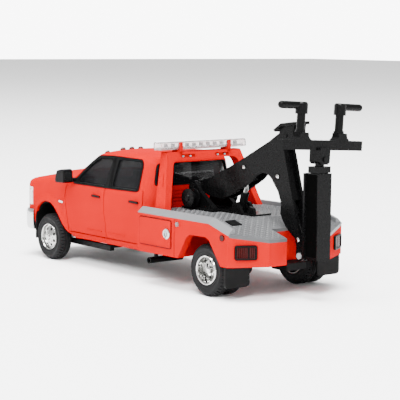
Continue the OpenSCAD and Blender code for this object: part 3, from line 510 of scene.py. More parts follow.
# ---- the cab -----------------------------------------------------------------------
CAB_WALL = 1.1
LAMP_BACK = 77.2
BUMPER_TOP = 13.1
HANDLES_X = (45.4, 29.2)
FRONT_GLASS = rounded([(55.7, 22.4), (55.5, 23.9), (52.2, 26.9), (48.6, 29.2), (42.5, 29.4),
                       (43.7, 22.4)], 0.6)
REAR_GLASS = rounded([(40.6, 22.4), (40.0, 29.5), (31.0, 29.5), (30.4, 28.6), (30.3, 22.5)], 0.8)
GREENHOUSE = rounded([(58.2, 21.8), (57.4, 23.0), (52.6, 27.7), (49.2, 30.0), (42.3, 30.3), (30.6, 30.2),
                      (29.8, 29.0), (29.7, 22.0), (43.6, 21.8)], 0.9)
WINDSCREEN = rounded([(-13.4, 24.9), (-12.0, 29.9), (12.0, 29.9), (13.4, 24.9)], 1.0)
REAR_WINDOW = rounded([(-12.6, 23.6), (-11.5, 29.4), (11.5, 29.4), (12.6, 23.6)], 1.2)
# how far the blocks that cut the openings reach: along x at the two ends and the nose, along y at the sides
SCREEN_SPAN, REAR_SPAN, NOSE_SPAN = (46, 65), (24, 31), (70, 90)
SIDE_SPAN = (12.3, 22)
FRONT_SEAM = [(60.3, 21.9), (60.9, 21.0), (61.4, 19.5), (61.5, 17.8), (61.1, 15.2), (60.4, 11.7), (59.8, 9.6),
              (59.5, 8.5)]
SILL_SEAM = [(59.3, 8.75), (44, 8.75), (26, 8.75)]
MID_SEAM = [(43.4, 22.0), (43.8, 20.0), (43.9, 17.4), (43.6, 14.8), (43.0, 12.2), (42.8, 8.5)]
REAR_SEAM = [(28.6, 22.4), (28.4, 19.5), (28.6, 17.4), (29.2, 13.0), (29.6, 8.5)]
LAMP = rounded([(10.6, 14.4), (10.4, 19.1), (14.6, 19.5), (17.2, 18.9), (17.2, 14.3), (14.0, 14.1)], 0.6)
GRILLE = rounded([(-9.6, 13.9), (-9.9, 19.6), (-7.6, 20.5), (7.6, 20.5), (9.9, 19.6), (9.6, 13.9)], 0.8)


def both_sides(outline, inner, outer):
    """Prisms through the left and the right wall, between two distances from the middle plane."""
    left = prism(outline, "y", inner, outer)
    return [left, flip(left)]


def side_panes(grow=0.0, span=SIDE_SPAN):
    """Blocks through the openings of the four side windows."""
    return [pane for glass in (FRONT_GLASS, REAR_GLASS) for pane in both_sides(spread(glass, grow), *span)]


def end_panes():
    """Blocks through the openings of the windscreen and the rear window."""
    return [prism(WINDSCREEN, "x", *SCREEN_SPAN), prism(REAR_WINDOW, "x", *REAR_SPAN)]


def groove_tool(lines, width, depth):
    """Thin strips that reach only a little way into the cab's skin."""
    parts = [prism(ribbon(curve_through(line, 8), width), "y", 13.0, 18.5) for line in lines]
    return cut(united(parts + [flip(p) for p in parts]), [cab_loft(depth)])


def cab_shell():
    """The painted casting, with its wheel arches, seams, windows and pockets for the lamps and the grille."""
    cavity = mesh_object("cavity", *cab_loft(CAB_WALL, step=1.0, around=96))
    common(cavity, box(20, 57.4, -20, 20, 0, 50))
    # the open floor, the recess for the bumper and the engine bay
    openings = [box(31.5, 57.2, -13.8, 13.8, 0, 12), box(26.8, 31.6, -8.5, 8.5, 0, 12),
                box(20, 60, -11.2, 11.2, 0, 9.8), box(76.7, 90, -20, 20, 0, BUMPER_TOP),
                box(58.4, 80.4, -11.2, 11.2, 0, 20.6)]
    grooves = groove_tool([FRONT_SEAM, MID_SEAM, REAR_SEAM, SILL_SEAM], 0.26, 0.42)
    tools = [cavity] + openings + [grooves] + both_sides(curve_through(ARCH_LINE, 4), 11.0, 30)
    tools += side_panes(0.15) + end_panes()
    # louvres pressed into the wall under the rear window
    tools += [box(24, CAB_REAR + 0.25, -12.2, 12.2, z, z + 0.28) for z in (19.4, 20.3, 21.2, 22.1)]
    for outline in (LAMP, [(-y, z) for y, z in LAMP], GRILLE):
        pocket = mesh_object("pocket", *prism(outline, "x", LAMP_BACK, NOSE_SPAN[1]))
        tools.append(cut(pocket, [cab_loft(0.9, step=1.0)]))
    shell = cut(mesh_object("cab_shell", *cab_loft(0.0)), tools)
    finish_piece(shell, "red_paint", replaces=("cab_body",), sharp=35)


def cab_windows():
    """Smoked glass set into the cab's skin, and the black trim and seals that hold it."""
    glass = common(cab_layer("cab_glass", 0.3, 0.8), united(side_panes() + end_panes()))
    finish_piece(glass, "smoked_glazing", replaces=("cab_glazing",), sharp=35)
    # black trim round each side's windows, and a thin seal round the windscreen and the rear window
    trim = common(cab_layer("window_seals", -0.05, 1.2), united(both_sides(GREENHOUSE, *SIDE_SPAN)))
    finish_piece(cut(trim, side_panes()), "black_trim", sharp=35)
    seals = (("screen_seal", WINDSCREEN, SCREEN_SPAN), ("rear_seal", REAR_WINDOW, REAR_SPAN))
    for name, outline, span in seals:
        ring = mesh_object("ring", *prism(outline, "x", *span))
        cut(ring, [prism(spread(outline, -0.45), "x", *span)])
        finish_piece(common(cab_layer(name, -0.02, 0.4), ring), "black_trim", sharp=35)


def cabin_lining():
    """A thin dark skin on the inside of the cab, open at the windows and below."""
    lining = common(cab_layer("cabin_lining", CAB_WALL + 0.05, CAB_WALL + 0.25, step=1.0, around=96),
                    box(26.6, 57.2, -20, 20, 10.2, 50))
    cut(lining, side_panes(0.1, (11.5, 22)))
    cut(lining, [prism(spread(WINDSCREEN, 0.1), "x", 44, 65),
                 prism(spread(REAR_WINDOW, 0.1), "x", *REAR_SPAN)])
    finish_piece(lining, "black_interior", sharp=35)


def door_pillar_strips():
    """The paired thin ribs on the black pillar between the doors."""
    lines = [[(41.1, 22.2), (41.5, 25.8), (41.6, 29.9)], [(41.9, 22.2), (42.0, 25.8), (41.95, 29.9)]]
    parts = [prism(ribbon(line, 0.16), "y", 12.5, 18) for line in lines]
    strips = common(cab_layer("pillar_ribs", -0.14, 0.2, step=0.8), united(parts + [flip(p) for p in parts]))
    finish_piece(strips, "black_trim", sharp=35)


def raised_sides(name, outlines, y0, y1, slot):
    """Small raised shapes on both sides of the cab, as one piece."""
    parts = [flip(prism(outline, "y", y0, y1), keep=True) for outline in outlines]
    finish_piece(mesh_object(name, *join(parts)), slot, sharp=40)


def door_details():
    """Door handles, fender tabs and a raised line low on each door."""
    # each handle is a shallow dark cup with a bar across it
    cups = [rounded([(x, 19.0), (x + 3.9, 19.15), (x + 3.7, 19.75), (x + 0.2, 19.6)], 0.25)
            for x in HANDLES_X]
    bars = [rounded([(x + 0.2, 19.3), (x + 3.4, 19.4), (x + 3.4, 19.7), (x + 0.2, 19.6)], 0.12)
            for x in HANDLES_X]
    parts = [prism(cup, "y", 15.6, 15.93) for cup in cups] + [prism(bar, "y", 15.9, 16.12) for bar in bars]
    pulls = mesh_object("door_pulls", *join([flip(part, keep=True) for part in parts]))
    finish_piece(pulls, "black_trim", replaces=("door_handles",), sharp=40)
    tab = rounded([(62.3, 16.1), (64.2, 16.3), (64.1, 16.85), (62.2, 16.65)], 0.15)
    raised_sides("fender_tabs", [tab], 15.8, 16.12, "bright_chrome")
    lines = [[(51.2, 10.3), (44.6, 10.3)], [(41.9, 10.3), (34.6, 10.3)]]
    creases = [rounded(ribbon(line, 0.28), 0.1) for line in lines]
    raised_sides("door_creases", creases, 15.6, 15.98, "red_paint")


def nose_layer(name, outer, inner, shape):
    """A layer of the nose's skin within a part or an object that reaches forward."""
    return common(cab_layer(name, outer, inner, step=0.8), shape)


def headlamps():
    """A clear lens over a bright bowl on each side."""
    for name, side in (("headlamp_left", 1), ("headlamp_right", -1)):
        shape = prism([(side * y, z) for y, z in LAMP], "x", LAMP_BACK, NOSE_SPAN[1])
        lens = nose_layer(name, 0.06, 0.45, shape)
        finish_piece(lens, "clear_lens", replaces=("headlamps",) if side == 1 else (), sharp=35)
        finish_piece(nose_layer(name + "_bowl", 0.55, 0.88, shape), "bright_chrome", sharp=35)


def grille():
    """A bright frame with four bars and a centre post over a dark back."""
    inner = rounded([(-9.1, 14.3), (-9.3, 19.3), (-7.4, 20.0), (7.4, 20.0), (9.3, 19.3), (9.1, 14.3)], 0.6)
    bars = [prism([(-9.6, z), (9.6, z), (9.6, z + 0.34), (-9.6, z + 0.34)], "x", *NOSE_SPAN)
            for z in (15.1, 16.2, 17.3, 18.4)]
    bars.append(prism([(-0.35, 14), (-0.35, 20.3), (0.35, 20.3), (0.35, 14)], "x", *NOSE_SPAN))
    gaps = cut(mesh_object("gaps", *prism(inner, "x", *NOSE_SPAN)), bars)
    frame_and_bars = cut(mesh_object("frame", *prism(GRILLE, "x", *NOSE_SPAN)), [gaps])
    front = nose_layer("grille_bars", -0.2, 0.85, frame_and_bars)
    finish_piece(front, "bright_chrome", replaces=("grille",), sharp=35)
    back = nose_layer("grille_back", 0.86, 1.2, prism(GRILLE, "x", *NOSE_SPAN))
    finish_piece(back, "black_trim", sharp=35)


def roof_height(x, y):
    """Height of the cab's outer skin over a spot."""
    return solve_out(lambda z: cab_field(x, y, z), np.full(x.shape, 20.0), np.full(x.shape, 36.0), 20)


def roof_lamps():
    """Five amber domes over the windscreen, each set into the skin it stands on."""
    x0, radius, height, sunk = 52.6, 0.85, 1.1, 0.15
    n, m = 28, 7
    t, a = np.meshgrid(np.radians(np.linspace(0, 90, m + 1)), 2 * math.pi * np.arange(n) / n, indexing="ij")
    reach = radius * np.cos(t) ** 0.7
    faces = [(k * n + j, k * n + (j + 1) % n, (k + 1) * n + (j + 1) % n, (k + 1) * n + j)
             for k in range(m) for j in range(n)]
    faces += [tuple(range(n)), tuple(range((m + 1) * n - 1, m * n - 1, -1))]
    for i, y0 in enumerate((-8.3, -3.0, 0.0, 3.0, 8.3)):
        x, y = x0 + reach * np.cos(a), y0 + reach * np.sin(a)
        z = roof_height(x0 + (x - x0) * 0.5, y) - sunk + height * np.sin(t)
        ob = mesh_object("roof_lamp_%d" % (i + 1), np.stack([x, y, z], axis=-1).reshape(-1, 3), faces)
        finish_piece(ob, "amber_lens", replaces=("clearance_lights",) if i == 0 else (), sharp=50)


def mirrors():
    """A head, an arm and a glass on each side."""
    head = rounded([(60.2, 22.2), (60.5, 23.0), (59.6, 25.5), (57.0, 26.0), (56.3, 25.6), (56.2, 22.3)], 0.5)
    arm = rounded([(56.9, 22.3), (57.0, 23.4), (58.5, 23.4), (58.7, 22.3)], 0.3)
    glass = rounded([(17.2, 22.8), (19.6, 22.8), (19.65, 25.2), (17.2, 25.2)], 0.4)
    pieces = [("_head", prism(head, "y", 16.9, 19.95), "black_trim", 0.25),
              ("_arm", prism(arm, "y", 14.7, 17.2), "black_trim", 0.25),
              ("_glass", prism(glass, "x", 56.22, 56.4), "bright_chrome", 0.0)]
    for name, side in (("mirror_left", 1), ("mirror_right", -1)):
        for word, part, slot, bevel in pieces:
            ob = mesh_object(name + word, *(part if side == 1 else flip(part)))
            finish_piece(ob, slot, replaces=(name,) if word == "_head" else (), sharp=40, bevel=bevel)


cab_shell()
cab_windows()
cabin_lining()
door_pillar_strips()
door_details()
headlamps()
grille()
roof_lamps()
mirrors()


# ---- wheels and tyres ----------------------------------------------------------------
RIM_R, TYRE_R = 3.6, AXLE_Z
FRONT_FACE, REAR_FACE = face_of("front_tyre_left", 1, 1), face_of("rear_tyres_left", 1, 1)
WHEEL_HOLES, TREAD_NOTCHES = 8, 40


def turned_box(cx, a, r0, r1, half, y0, y1):
    """A block standing out from a wheel's axis at the angle a."""
    points, faces = box(r0, r1, y0, y1, -half, half)
    c, s = math.cos(a), math.sin(a)
    return [(cx + r * c - w * s, y, AXLE_Z + r * s + w * c) for r, y, w in points], faces


def tyre(cx, y0, y1):
    """A tyre between two faces with ribs down the tread and notched shoulders."""
    half = [(RIM_R, 0.5), (RIM_R + 0.1, 0.16), (RIM_R + 0.4, 0.02), (RIM_R + 0.6, 0.0), (RIM_R + 0.68, 0.1),
            (5.0, 0.06), (5.1, 0.0), (5.3, 0.0), (5.4, 0.1), (5.8, 0.3), (6.08, 0.62), (TYRE_R, 1.0),
            (TYRE_R, 1.38), (TYRE_R - 0.2, 1.42), (TYRE_R - 0.2, 1.58), (TYRE_R, 1.62)]
    outline = [(r, y0 + d) for r, d in half] + [(r, y1 - d) for r, d in half[::-1]]
    ring = mesh_object("tyre", *revolve(outline, cx, AXLE_Z, 96))
    rows = ((y0 - 0.2, y0 + 1.15), (y1 - 1.15, y1 + 0.2))
    notches = [turned_box(cx, 2 * math.pi * (k + 0.5 * row) / TREAD_NOTCHES, 5.72, 6.6, 0.13, *span)
               for k in range(TREAD_NOTCHES) for row, span in enumerate(rows)]
    return cut(ring, [join(notches)])


def ring_of_rods(cx, radius, phase, r, y0, y1, sides=20):
    """Short rods along y in a ring round a wheel's axis, as many as the wheel has holes."""
    turns = [2 * math.pi * (k + phase) / WHEEL_HOLES for k in range(WHEEL_HOLES)]
    return join([disc_y(cx + radius * math.cos(a), AXLE_Z + radius * math.sin(a), r, y0, y1, sides)
                 for a in turns])


def wheel(cx, outline, holes_r, nuts_r, nut_y):
    """A chromed wheel turned from an outline, with a ring of holes through it and a ring of nuts."""
    face = max(y for r, y in outline)
    ob = mesh_object("wheel", *revolve(outline, cx, AXLE_Z, 80))
    cut(ob, [ring_of_rods(cx, holes_r, 0.5, 0.42, face - 3.3, face + 1)])
    return cut(ob, [ring_of_rods(cx, nuts_r, 0, 0.15, nut_y - 0.5, nut_y, sides=6)], "UNION")


def front_outline():
    """Section of the front wheel as radius, y: a raised hub in a shallow dish."""
    f = FRONT_FACE
    return [(0.02, f + 0.55), (0.6, f + 0.53), (0.85, f + 0.36), (0.95, f + 0.05), (1.3, f - 0.02),
            (1.42, f - 0.12), (2.5, f - 0.42), (2.85, f - 0.58), (3.02, f - 0.85), (3.18, f - 0.82),
            (3.26, f - 0.35), (3.38, f - 0.1), (3.52, f - 0.06), (RIM_R, f - 0.2), (RIM_R, f - 3.7),
            (3.3, f - 3.7), (3.15, f - 1.9), (2.9, f - 1.3), (1.0, f - 1.1), (0.8, f - 1.1), (0.8, f - 0.38),
            (0.02, f - 0.38)]


def rear_outline():
    """Section of the rear wheel as radius, y: a deep dish, and a rim wide enough for two tyres."""
    g, inner = REAR_FACE, REAR_FACE - 7.6
    return [(0.02, g - 0.6), (0.5, g - 0.62), (0.75, g - 0.78), (0.85, g - 1.0), (0.92, g - 1.7),
            (1.35, g - 1.8), (1.45, g - 2.05), (2.5, g - 2.35), (2.85, g - 2.3), (3.0, g - 2.0),
            (3.06, g - 0.5), (3.16, g - 0.12), (3.32, g), (3.48, g - 0.02), (RIM_R, g - 0.2), (RIM_R, inner),
            (3.3, inner), (3.1, g - 3.2), (1.0, g - 3.0), (0.8, g - 3.0), (0.8, g - 1.28), (0.02, g - 1.28)]


def wheels():
    """Wheels and tyres, with black discs behind the holes and black fillings in them: painted shade for the
    dark of a hollow back seen through the holes.
    """
    f, g = FRONT_FACE, REAR_FACE
    # cx, section, radius of the holes, radius and y of the nuts, y of the back disc, y of the black fillings
    # in the holes; disc and fillings are painted shade
    ends = {"front": (WHEELBASE, front_outline(), 2.3, 1.66, f - 0.05, f - 1.45, f - 0.52),
            "rear": (0.0, rear_outline(), 2.1, 1.2, g - 1.62, g - 3.4, g - 2.42)}
    tyres = (("front_tyre", "front", WHEELBASE, f - 4.0, f), ("rear_tyres", "rear", 0.0, g - 3.6, g),
             ("inner_rear_tyre", "rear", 0.0, g - 7.6, g - 4.0))
    for side, word in ((1, "left"), (-1, "right")):
        pieces = []
        for end, (cx, outline, holes_r, nuts_r, nut_y, back_y, hole_shade_y) in ends.items():
            # a black disc behind the holes and black fillings in them: painted shade for the hollow back
            disc = [(0.84, back_y), (2.9, back_y), (2.9, back_y - 0.2), (0.84, back_y - 0.2)]
            back = mesh_object("back", *revolve(disc, cx, AXLE_Z, 48))
            hole_shades = mesh_object("hole_shades", *ring_of_rods(cx, holes_r, 0.5, 0.41, hole_shade_y - 0.6, hole_shade_y))
            pieces += [(end + "_wheel", end, "bright_chrome", wheel(cx, outline, holes_r, nuts_r, nut_y)),
                       (end + "_wheel_back", end, "black_trim", back),
                       (end + "_wheel_vents", end, "black_trim", hole_shades)]
        pieces += [(name, end, "tyre_rubber", tyre(cx, y0, y1)) for name, end, cx, y0, y1 in tyres]
        for name, end, slot, ob in pieces:
            if side < 0:
                mirror_mesh(ob)
            node = "%s_%s" % (name, word)
            ob.name = "v_" + node
            finish_piece(ob, slot, body=end + "_wheels", replaces=(node,) if node in nodes else (), sharp=32)


def mirror_mesh(ob):
    """Turn a finished mesh into its own mirror image across the middle plane."""
    ob.data.transform(Matrix.Scale(-1, 4, (0, 1, 0)))
    ob.data.flip_normals()


wheels()


# ---- front bumper and painted shade in the wheel wells ------------------------------------
def front_bumper():
    """A plain bright bumper bent round the nose, thin-walled and open behind."""
    plan = curve_through([(75.7, 16.45), (78.0, 16.5), (80.0, 15.6), (81.8, 12.4), (82.9, 7.0),
                          (83.25, 0.0)], 8)
    plan += [(x, -y) for x, y in plan[-2::-1]]
    p = np.array(plan)
    d = np.gradient(p, axis=0)
    d /= np.linalg.norm(d, axis=1)[:, None]
    out = np.stack([-d[:, 1], d[:, 0]], axis=1)
    out *= np.sign((out * (p - np.array([60.0, 0.0]))).sum(axis=1))[:, None]
    # section of the wall: distance outward from the plan, height
    skin = [(-0.15, 7.6), (0.12, 7.8), (0.3, 8.6), (0.4, 10.4), (0.4, 12.0), (0.28, 12.8), (0.0, 13.2),
            (-0.6, 13.2), (-0.6, 7.6)]
    points = [(*(q + o * off), z) for q, o in zip(p, out) for off, z in skin]
    n, m = len(skin), len(plan)
    faces = [(i * n + j, i * n + (j + 1) % n, (i + 1) * n + (j + 1) % n, (i + 1) * n + j)
             for i in range(m - 1) for j in range(n)]
    faces += [tuple(range(n)), tuple(range(m * n - 1, (m - 1) * n - 1, -1))]
    ob = mesh_object("bumper", points, faces)
    gaps = [prism(rounded([(-6.4, 8.8), (6.4, 8.8), (6.0, 10.6), (-6.0, 10.6)], 0.5), "x", *NOSE_SPAN)]
    for s in (1, -1):
        gap = rounded([(s * 8.0, 9.0), (s * 11.0, 9.2), (s * 11.0, 10.9), (s * 8.0, 10.6)], 0.5)
        gaps.append(prism(gap, "x", 76, 90))
    finish_piece(cut(ob, gaps), "bumper_silver", replaces=("front_bumper",), sharp=35)
    # a dark plate behind the three gaps
    backing = mesh_object("bumper_backing", *box(79.9, 80.6, -12.0, 12.0, 8.2, 12.8))
    finish_piece(backing, "black_trim")


def wheel_well_shade():
    """Black sheets over the front wheels and a black flap in front of each: painted shade for the dark inside
    the wells.
    """
    arch = curve_through(ARCH_LINE, 4)
    well = mesh_object("wheel_well_shade", *flip(prism(arch, "y", 10.6, 15.5), keep=True))
    cut(well, [flip(prism(outset(arch, -0.35), "y", 10.9, 16.0), keep=True), box(50, 80, -20, 20, 0, 8.4)])
    finish_piece(well, "black_trim")
    flap = rounded([(74.95, 13.3), (74.95, 6.0), (75.1, 5.1), (75.6, 5.1), (75.7, 13.3)], 0.2)
    pair = flip(prism(flap, "y", 10.2, 16.1), keep=True)
    finish_piece(mesh_object("front_well_shade_flaps", *pair), "black_trim", bevel=0.1)


# ---- wrecker body details --------------------------------------------------------------------
DECK_Z, KINK_X, DECK_SLOPE = face_of("deck_plate", 1, 2), -2.0, 0.30
BODY_Y = face_of("wrecker_body", 1, 1)
TREAD_PITCH = 0.92
# spots without tread: nearest and furthest from the middle plane, then from x to x
FITTINGS = {
    "side_rail": (16.1, 20.0, -9.4, 30.0), "front_edge": (-1.0, 20.0, 24.8, 30.0),
    "kink": (-1.0, 20.0, KINK_X - 0.45, KINK_X + 0.45), "boom_mount": (-1.0, 6.1, 11.5, 24.7),
    "cylinder_bracket": (-1.0, 3.5, -0.5, 12.6), "rack_foot": (13.8, 20.0, 17.1, 22.2),
    "tail_notch": (-1.0, 5.3, -20.0, -8.0), "deck_pad": (10.5, 14.5, -5.5, -2.0),
}
# the two ends, in x and y, of the slanted facet at the tail's left corner
FACET_OUT, FACET_IN = np.array([-9.3, 17.8]), np.array([-13.6, 10.0])
FACET_SLOPE = (FACET_OUT[0] - FACET_IN[0]) / (FACET_OUT[1] - FACET_IN[1])
BOOM_PINS = ((4.64, 29.6), (-7.4, 28.3), (-14.8, 14.0))


def deck_height(x):
    """Height of the deck, which falls away behind its kink."""
    return DECK_Z - DECK_SLOPE * max(0.0, KINK_X - x)


def clear_of_fittings(x, y):
    """Whether a spot on the deck is bare tread plate, inside the tail's slanted corners."""
    w = abs(y)
    if any(w0 < w < w1 and x0 < x < x1 for w0, w1, x0, x1 in FITTINGS.values()):
        return False
    edge = FACET_OUT[0] - (FACET_OUT[1] - w) * FACET_SLOPE if w > FACET_IN[1] else FACET_IN[0]
    return x > edge + 0.65 and w < 17.2


def deck_treads():
    """Rows of small raised lozenges, alternately turned, over the bare parts of the deck."""
    parts = []
    for i in range(-15, 28):
        for j in range(-19, 20):
            x, y = i * TREAD_PITCH, j * TREAD_PITCH
            if not clear_of_fittings(x, y):
                continue
            t = math.radians(45 if (i + j) % 2 else -45)
            c, s = math.cos(t), math.sin(t)
            points = []
            for scale, lift in ((1.0, -0.04), (0.85, 0.07), (0.4, 0.12)):
                for u, v in ((0.43, 0.0), (0.0, 0.15), (-0.43, 0.0), (0.0, -0.15)):
                    px, py = x + scale * (u * c - v * s), y + scale * (u * s + v * c)
                    points.append((px, py, deck_height(px) + lift))
            faces = [(3, 2, 1, 0), (8, 9, 10, 11)]
            faces += [(4 * k + n, 4 * k + (n + 1) % 4, 4 * k + 4 + (n + 1) % 4, 4 * k + 4 + n)
                      for k in (0, 1) for n in range(4)]
            parts.append((points, faces))
    # the lozenges take a lighter grey than the deck: partly wear, partly painted highlight
    finish_piece(mesh_object("deck_treads", *join(parts)), "deck_grey", sharp=20, look="tread_wear_and_highlight_grey")


def boom_pins():
    """Domed chrome pins through the boom, each over a dark washer."""
    dome = [(0.02, 1.0), (0.41, 1.0), (0.41, 1.98), (0.58, 1.98), (0.56, 2.16), (0.4, 2.3), (0.2, 2.36),
            (0.02, 2.38)]
    washer = [(0.44, 1.9), (0.8, 1.9), (0.8, 2.02), (0.74, 2.06), (0.62, 2.06), (0.6, 2.0), (0.44, 2.0)]
    heads = [flip(revolve(dome, x, z, 32), keep=True) for x, z in BOOM_PINS]
    washers = [flip(revolve(washer, x, z, 32), keep=True) for x, z in BOOM_PINS]
    shanks = [disc_y(x, z, 0.4, -1.1, 1.1) for x, z in BOOM_PINS]
    finish_piece(mesh_object("pins", *join(heads + shanks)), "bright_chrome", body="boom",
                 replaces=("boom_pins",), sharp=40)
    finish_piece(mesh_object("pin_washers", *join(washers)), "black_satin", body="boom", sharp=40)


def toolbox_fittings():
    """A panel in a black ring on each side, painted shade for the groove round the door, with a round flush
    latch.
    """
    door = rounded([(12.0, 10.1), (24.3, 10.1), (24.3, 16.8), (12.0, 16.8)], 0.5)
    # a thin black ring just proud of the side round each door: painted shade for the groove's shadow
    seam = prism(outset(door, 0.2), "y", BODY_Y - 0.05, BODY_Y + 0.08)
    frame = mesh_object("door_groove_shade", *flip(seam, keep=True))
    cut(frame, [flip(prism(door, "y", BODY_Y - 1, BODY_Y + 1), keep=True)])
    finish_piece(frame, "black_trim")
    panel = flip(prism(outset(door, -0.06), "y", BODY_Y - 0.05, BODY_Y + 0.3), keep=True)
    finish_piece(mesh_object("doors", *panel), "red_paint", replaces=("toolbox_doors",), bevel=0.14)
    # the latch is a turned cup with a T handle in it
    cx, cz, y = 13.3, 13.6, BODY_Y + 0.3
    cup = revolve([(0.02, y - 0.02), (0.02, y + 0.08), (0.78, y + 0.08), (0.86, y + 0.3), (1.1, y + 0.34),
                   (1.28, y + 0.2), (1.32, y - 0.02)], cx, cz, 48)
    handle = [box(cx - 0.14, cx + 0.14, y + 0.05, y + 0.3, cz - 0.62, cz + 0.35),
              box(cx - 0.55, cx + 0.55, y + 0.05, y + 0.34, cz + 0.3, cz + 0.58)]
    finish_piece(mesh_object("latches", *flip(cup, keep=True)), "bright_chrome",
                 replaces=("toolbox_latches",), sharp=40)
    finish_piece(mesh_object("latch_handles", *flip(join(handle), keep=True)), "rivet_steel", bevel=0.06)


def on_facet(part):
    """Move a part drawn as (along the facet, out of it, up) onto the left tail facet."""
    along = (FACET_IN - FACET_OUT) / np.linalg.norm(FACET_IN - FACET_OUT)
    out = np.array([-along[1], along[0]])
    out *= np.sign(out @ np.array([-1.0, 1.0]))
    points, faces = part
    return [(*(FACET_OUT + along * p[0] + out * p[1]), p[2]) for p in points], faces


def tail_lamps():
    """A black case with two fluted red lenses on each tail facet."""
    case = rounded([(0.55, 9.85), (5.95, 9.85), (5.95, 13.35), (0.55, 13.35)], 0.6)
    ring = mesh_object("tail_cases", *flip(on_facet(prism(case, "y", -0.05, 0.55)), keep=True))
    opening = rounded([(0.95, 10.25), (5.55, 10.25), (5.55, 12.95), (0.95, 12.95)], 0.35)
    cut(ring, [flip(on_facet(prism(opening, "y", 0.1, 1.0)), keep=True)])
    finish_piece(ring, "black_trim", replaces=("tail_lamp_frames",), bevel=0.1)
    flutes = []
    for x0, x1 in ((1.0, 3.75), (4.1, 5.5)):
        count = round((x1 - x0) / 0.46)
        w = (x1 - x0) / count
        for k in range(count):
            a = x0 + k * w
            profile = [(a + 0.03, 0.05), (a + w - 0.03, 0.05), (a + w - 0.03, 0.24), (a + w * 0.7, 0.36),
                       (a + w * 0.3, 0.36), (a + 0.03, 0.24)]
            flutes.append(on_facet(prism(profile, "z", 10.3, 12.9)))
    finish_piece(mesh_object("tail_lenses", *flip(join(flutes), keep=True)), "red_lens",
                 replaces=("tail_lamp_lenses",), sharp=35)


def rack_and_light_bar():
    """A hollow clear cover over a tray of twelve reflectors, and the work lamps in the rack's recesses."""
    outer = rounded([(21.9, 33.0), (25.1, 33.0), (25.0, 35.0), (22.1, 35.0)], 0.45)
    cover = mesh_object("cover", *prism(outer, "y", -14.1, 14.1))
    cut(cover, [prism(outset(outer, -0.25), "y", -13.8, 13.8)])
    finish_piece(cover, "clear_lens", replaces=("light_bar_lens",), sharp=35, bevel=0.12)
    tray = mesh_object("lamp_tray", *box(22.3, 24.7, -13.6, 13.6, 33.26, 33.42))
    finish_piece(tray, "white_lens", look="lamp_base")
    cells, floor_z = [], 33.43
    for k in range(12):
        y = -12.65 + 2.3 * k
        cells.append(box(22.6, 24.4, y - 0.8, y + 0.8, floor_z, floor_z + 0.23))
        # a thin divider follows every reflector but the last
        cells.append(box(22.7, 24.3, y + 1.1, y + 1.2, floor_z, floor_z + 1.07))
    finish_piece(mesh_object("lamp_cells", *join(cells[:-1])), "white_lens", bevel=0.05)
    turns = np.linspace(0, 2 * math.pi, 16, endpoint=False)
    bulbs = [prism([(y + 0.28 * math.cos(a), 31.3 + 0.24 * math.sin(a)) for a in turns], "x", 22.0, 22.35)
             for y in (6.9, 4.55, -4.55, -6.9)]
    finish_piece(mesh_object("work_bulbs", *join(bulbs)), "white_lens", replaces=("work_lamps",), sharp=40)


def tube_shade_panels():
    """Matt black sheets on the two sides of the wheel lift's tube: painted shade standing in for the shadow
    of a recessed channel.
    """
    outline = rounded([(-21.0, 10.4), (-17.6, 10.4), (-17.6, 29.8), (-21.0, 29.8)], 0.15)
    panels = flip(prism(outline, "y", 2.15, 2.23), keep=True)
    finish_piece(mesh_object("tube_shade_panels", *panels), "black_satin", body="stinger", look="painted_shade_black")


tube_shade_panels()
front_bumper()
wheel_well_shade()
deck_treads()
boom_pins()
toolbox_fittings()
tail_lamps()
rack_and_light_bar()


# ---- the CAD nodes ---------------------------------------------------------------------
# the rounding of the edges: none on the faceted tyres, and EDGE_WIDTH where no other is named
EDGE_WIDTH = 0.12
NO_EDGE = ("front_tyre_left", "front_tyre_right", "rear_tyres_left", "rear_tyres_right")
EDGES = {"deck_rails": 0.18, "wrecker_body": 0.22, "stinger_tube": 0.28, "headache_rack": 0.2,
         "boom_frame": 0.14}
NODE_LOOKS = {"stinger_pin": "screw_silver"}


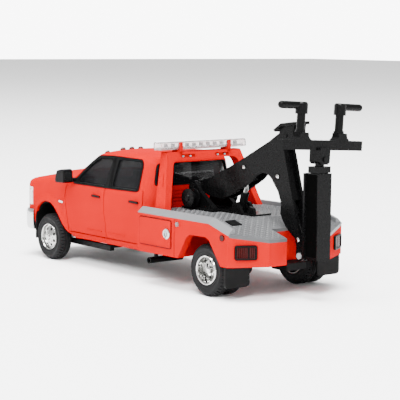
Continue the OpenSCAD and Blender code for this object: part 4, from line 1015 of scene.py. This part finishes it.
def dress_cad_nodes():
    """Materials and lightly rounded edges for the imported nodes."""
    for name, ob in nodes.items():
        ob.data.materials.clear()
        ob.data.materials.append(MATS[NODE_LOOKS.get(name, slots[name])])
        if name not in NO_EDGE:
            round_edges(ob, EDGES.get(name, EDGE_WIDTH), 35)


dress_cad_nodes()


# ---- floor, light ----------------------------------------------------------------------
AIM = Vector((0, 0, 0.02))


def area(name, loc, size, power):
    """A square lamp turned towards the truck."""
    lamp = bpy.data.lights.new(name, "AREA")
    lamp.size, lamp.energy = size, power
    ob = bpy.data.objects.new(name, lamp)
    ob.location = loc
    ob.rotation_mode = "QUATERNION"
    ob.rotation_quaternion = (AIM - Vector(loc)).to_track_quat("-Z", "Y")
    bpy.context.collection.objects.link(ob)


def white_floor():
    """A plain pale floor, six metres square."""
    r = 3.0
    mesh = bpy.data.meshes.new("floor")
    mesh.from_pydata([(-r, -r, 0), (r, -r, 0), (r, r, 0), (-r, r, 0)], [], [(0, 1, 2, 3)])
    floor = bpy.data.objects.new("floor", mesh)
    bpy.context.collection.objects.link(floor)
    m = bpy.data.materials.new("floor_white")
    m.use_nodes = True
    b = m.node_tree.nodes["Principled BSDF"]
    b.inputs["Base Color"].default_value = (0.93, 0.93, 0.93, 1)
    b.inputs["Roughness"].default_value = 0.9
    b.inputs["Specular IOR Level"].default_value = 0.05
    mesh.materials.append(m)


def studio_light():
    """A bright horizon that falls off overhead, a soft top light, a key light and a small one for glints."""
    world = bpy.data.worlds.new("studio")
    bpy.context.scene.world = world
    world.use_nodes = True
    nt = world.node_tree
    sky = nt.nodes.new("ShaderNodeTexCoord").outputs["Generated"]
    split = nt.nodes.new("ShaderNodeSeparateXYZ")
    nt.links.new(sky, split.inputs[0])
    stops = [(0.0, (1.0,)), (0.03, (1.0,)), (0.06, (0.22,)), (0.35, (0.13,)), (1.0, (0.16,))]
    level = ramp(nt, split.outputs[2], stops)
    background = nt.nodes["Background"]
    nt.links.new(level, background.inputs["Color"])
    background.inputs["Strength"].default_value = 8.5
    area("top", (-0.05, 0.1, 1.0), 0.5, 42.0)
    area("key", (-0.45, 0.60, 0.66), 0.4, 17.0)
    area("spark", (-0.50, 0.42, 0.62), 0.12, 4.0)


white_floor()
studio_light()
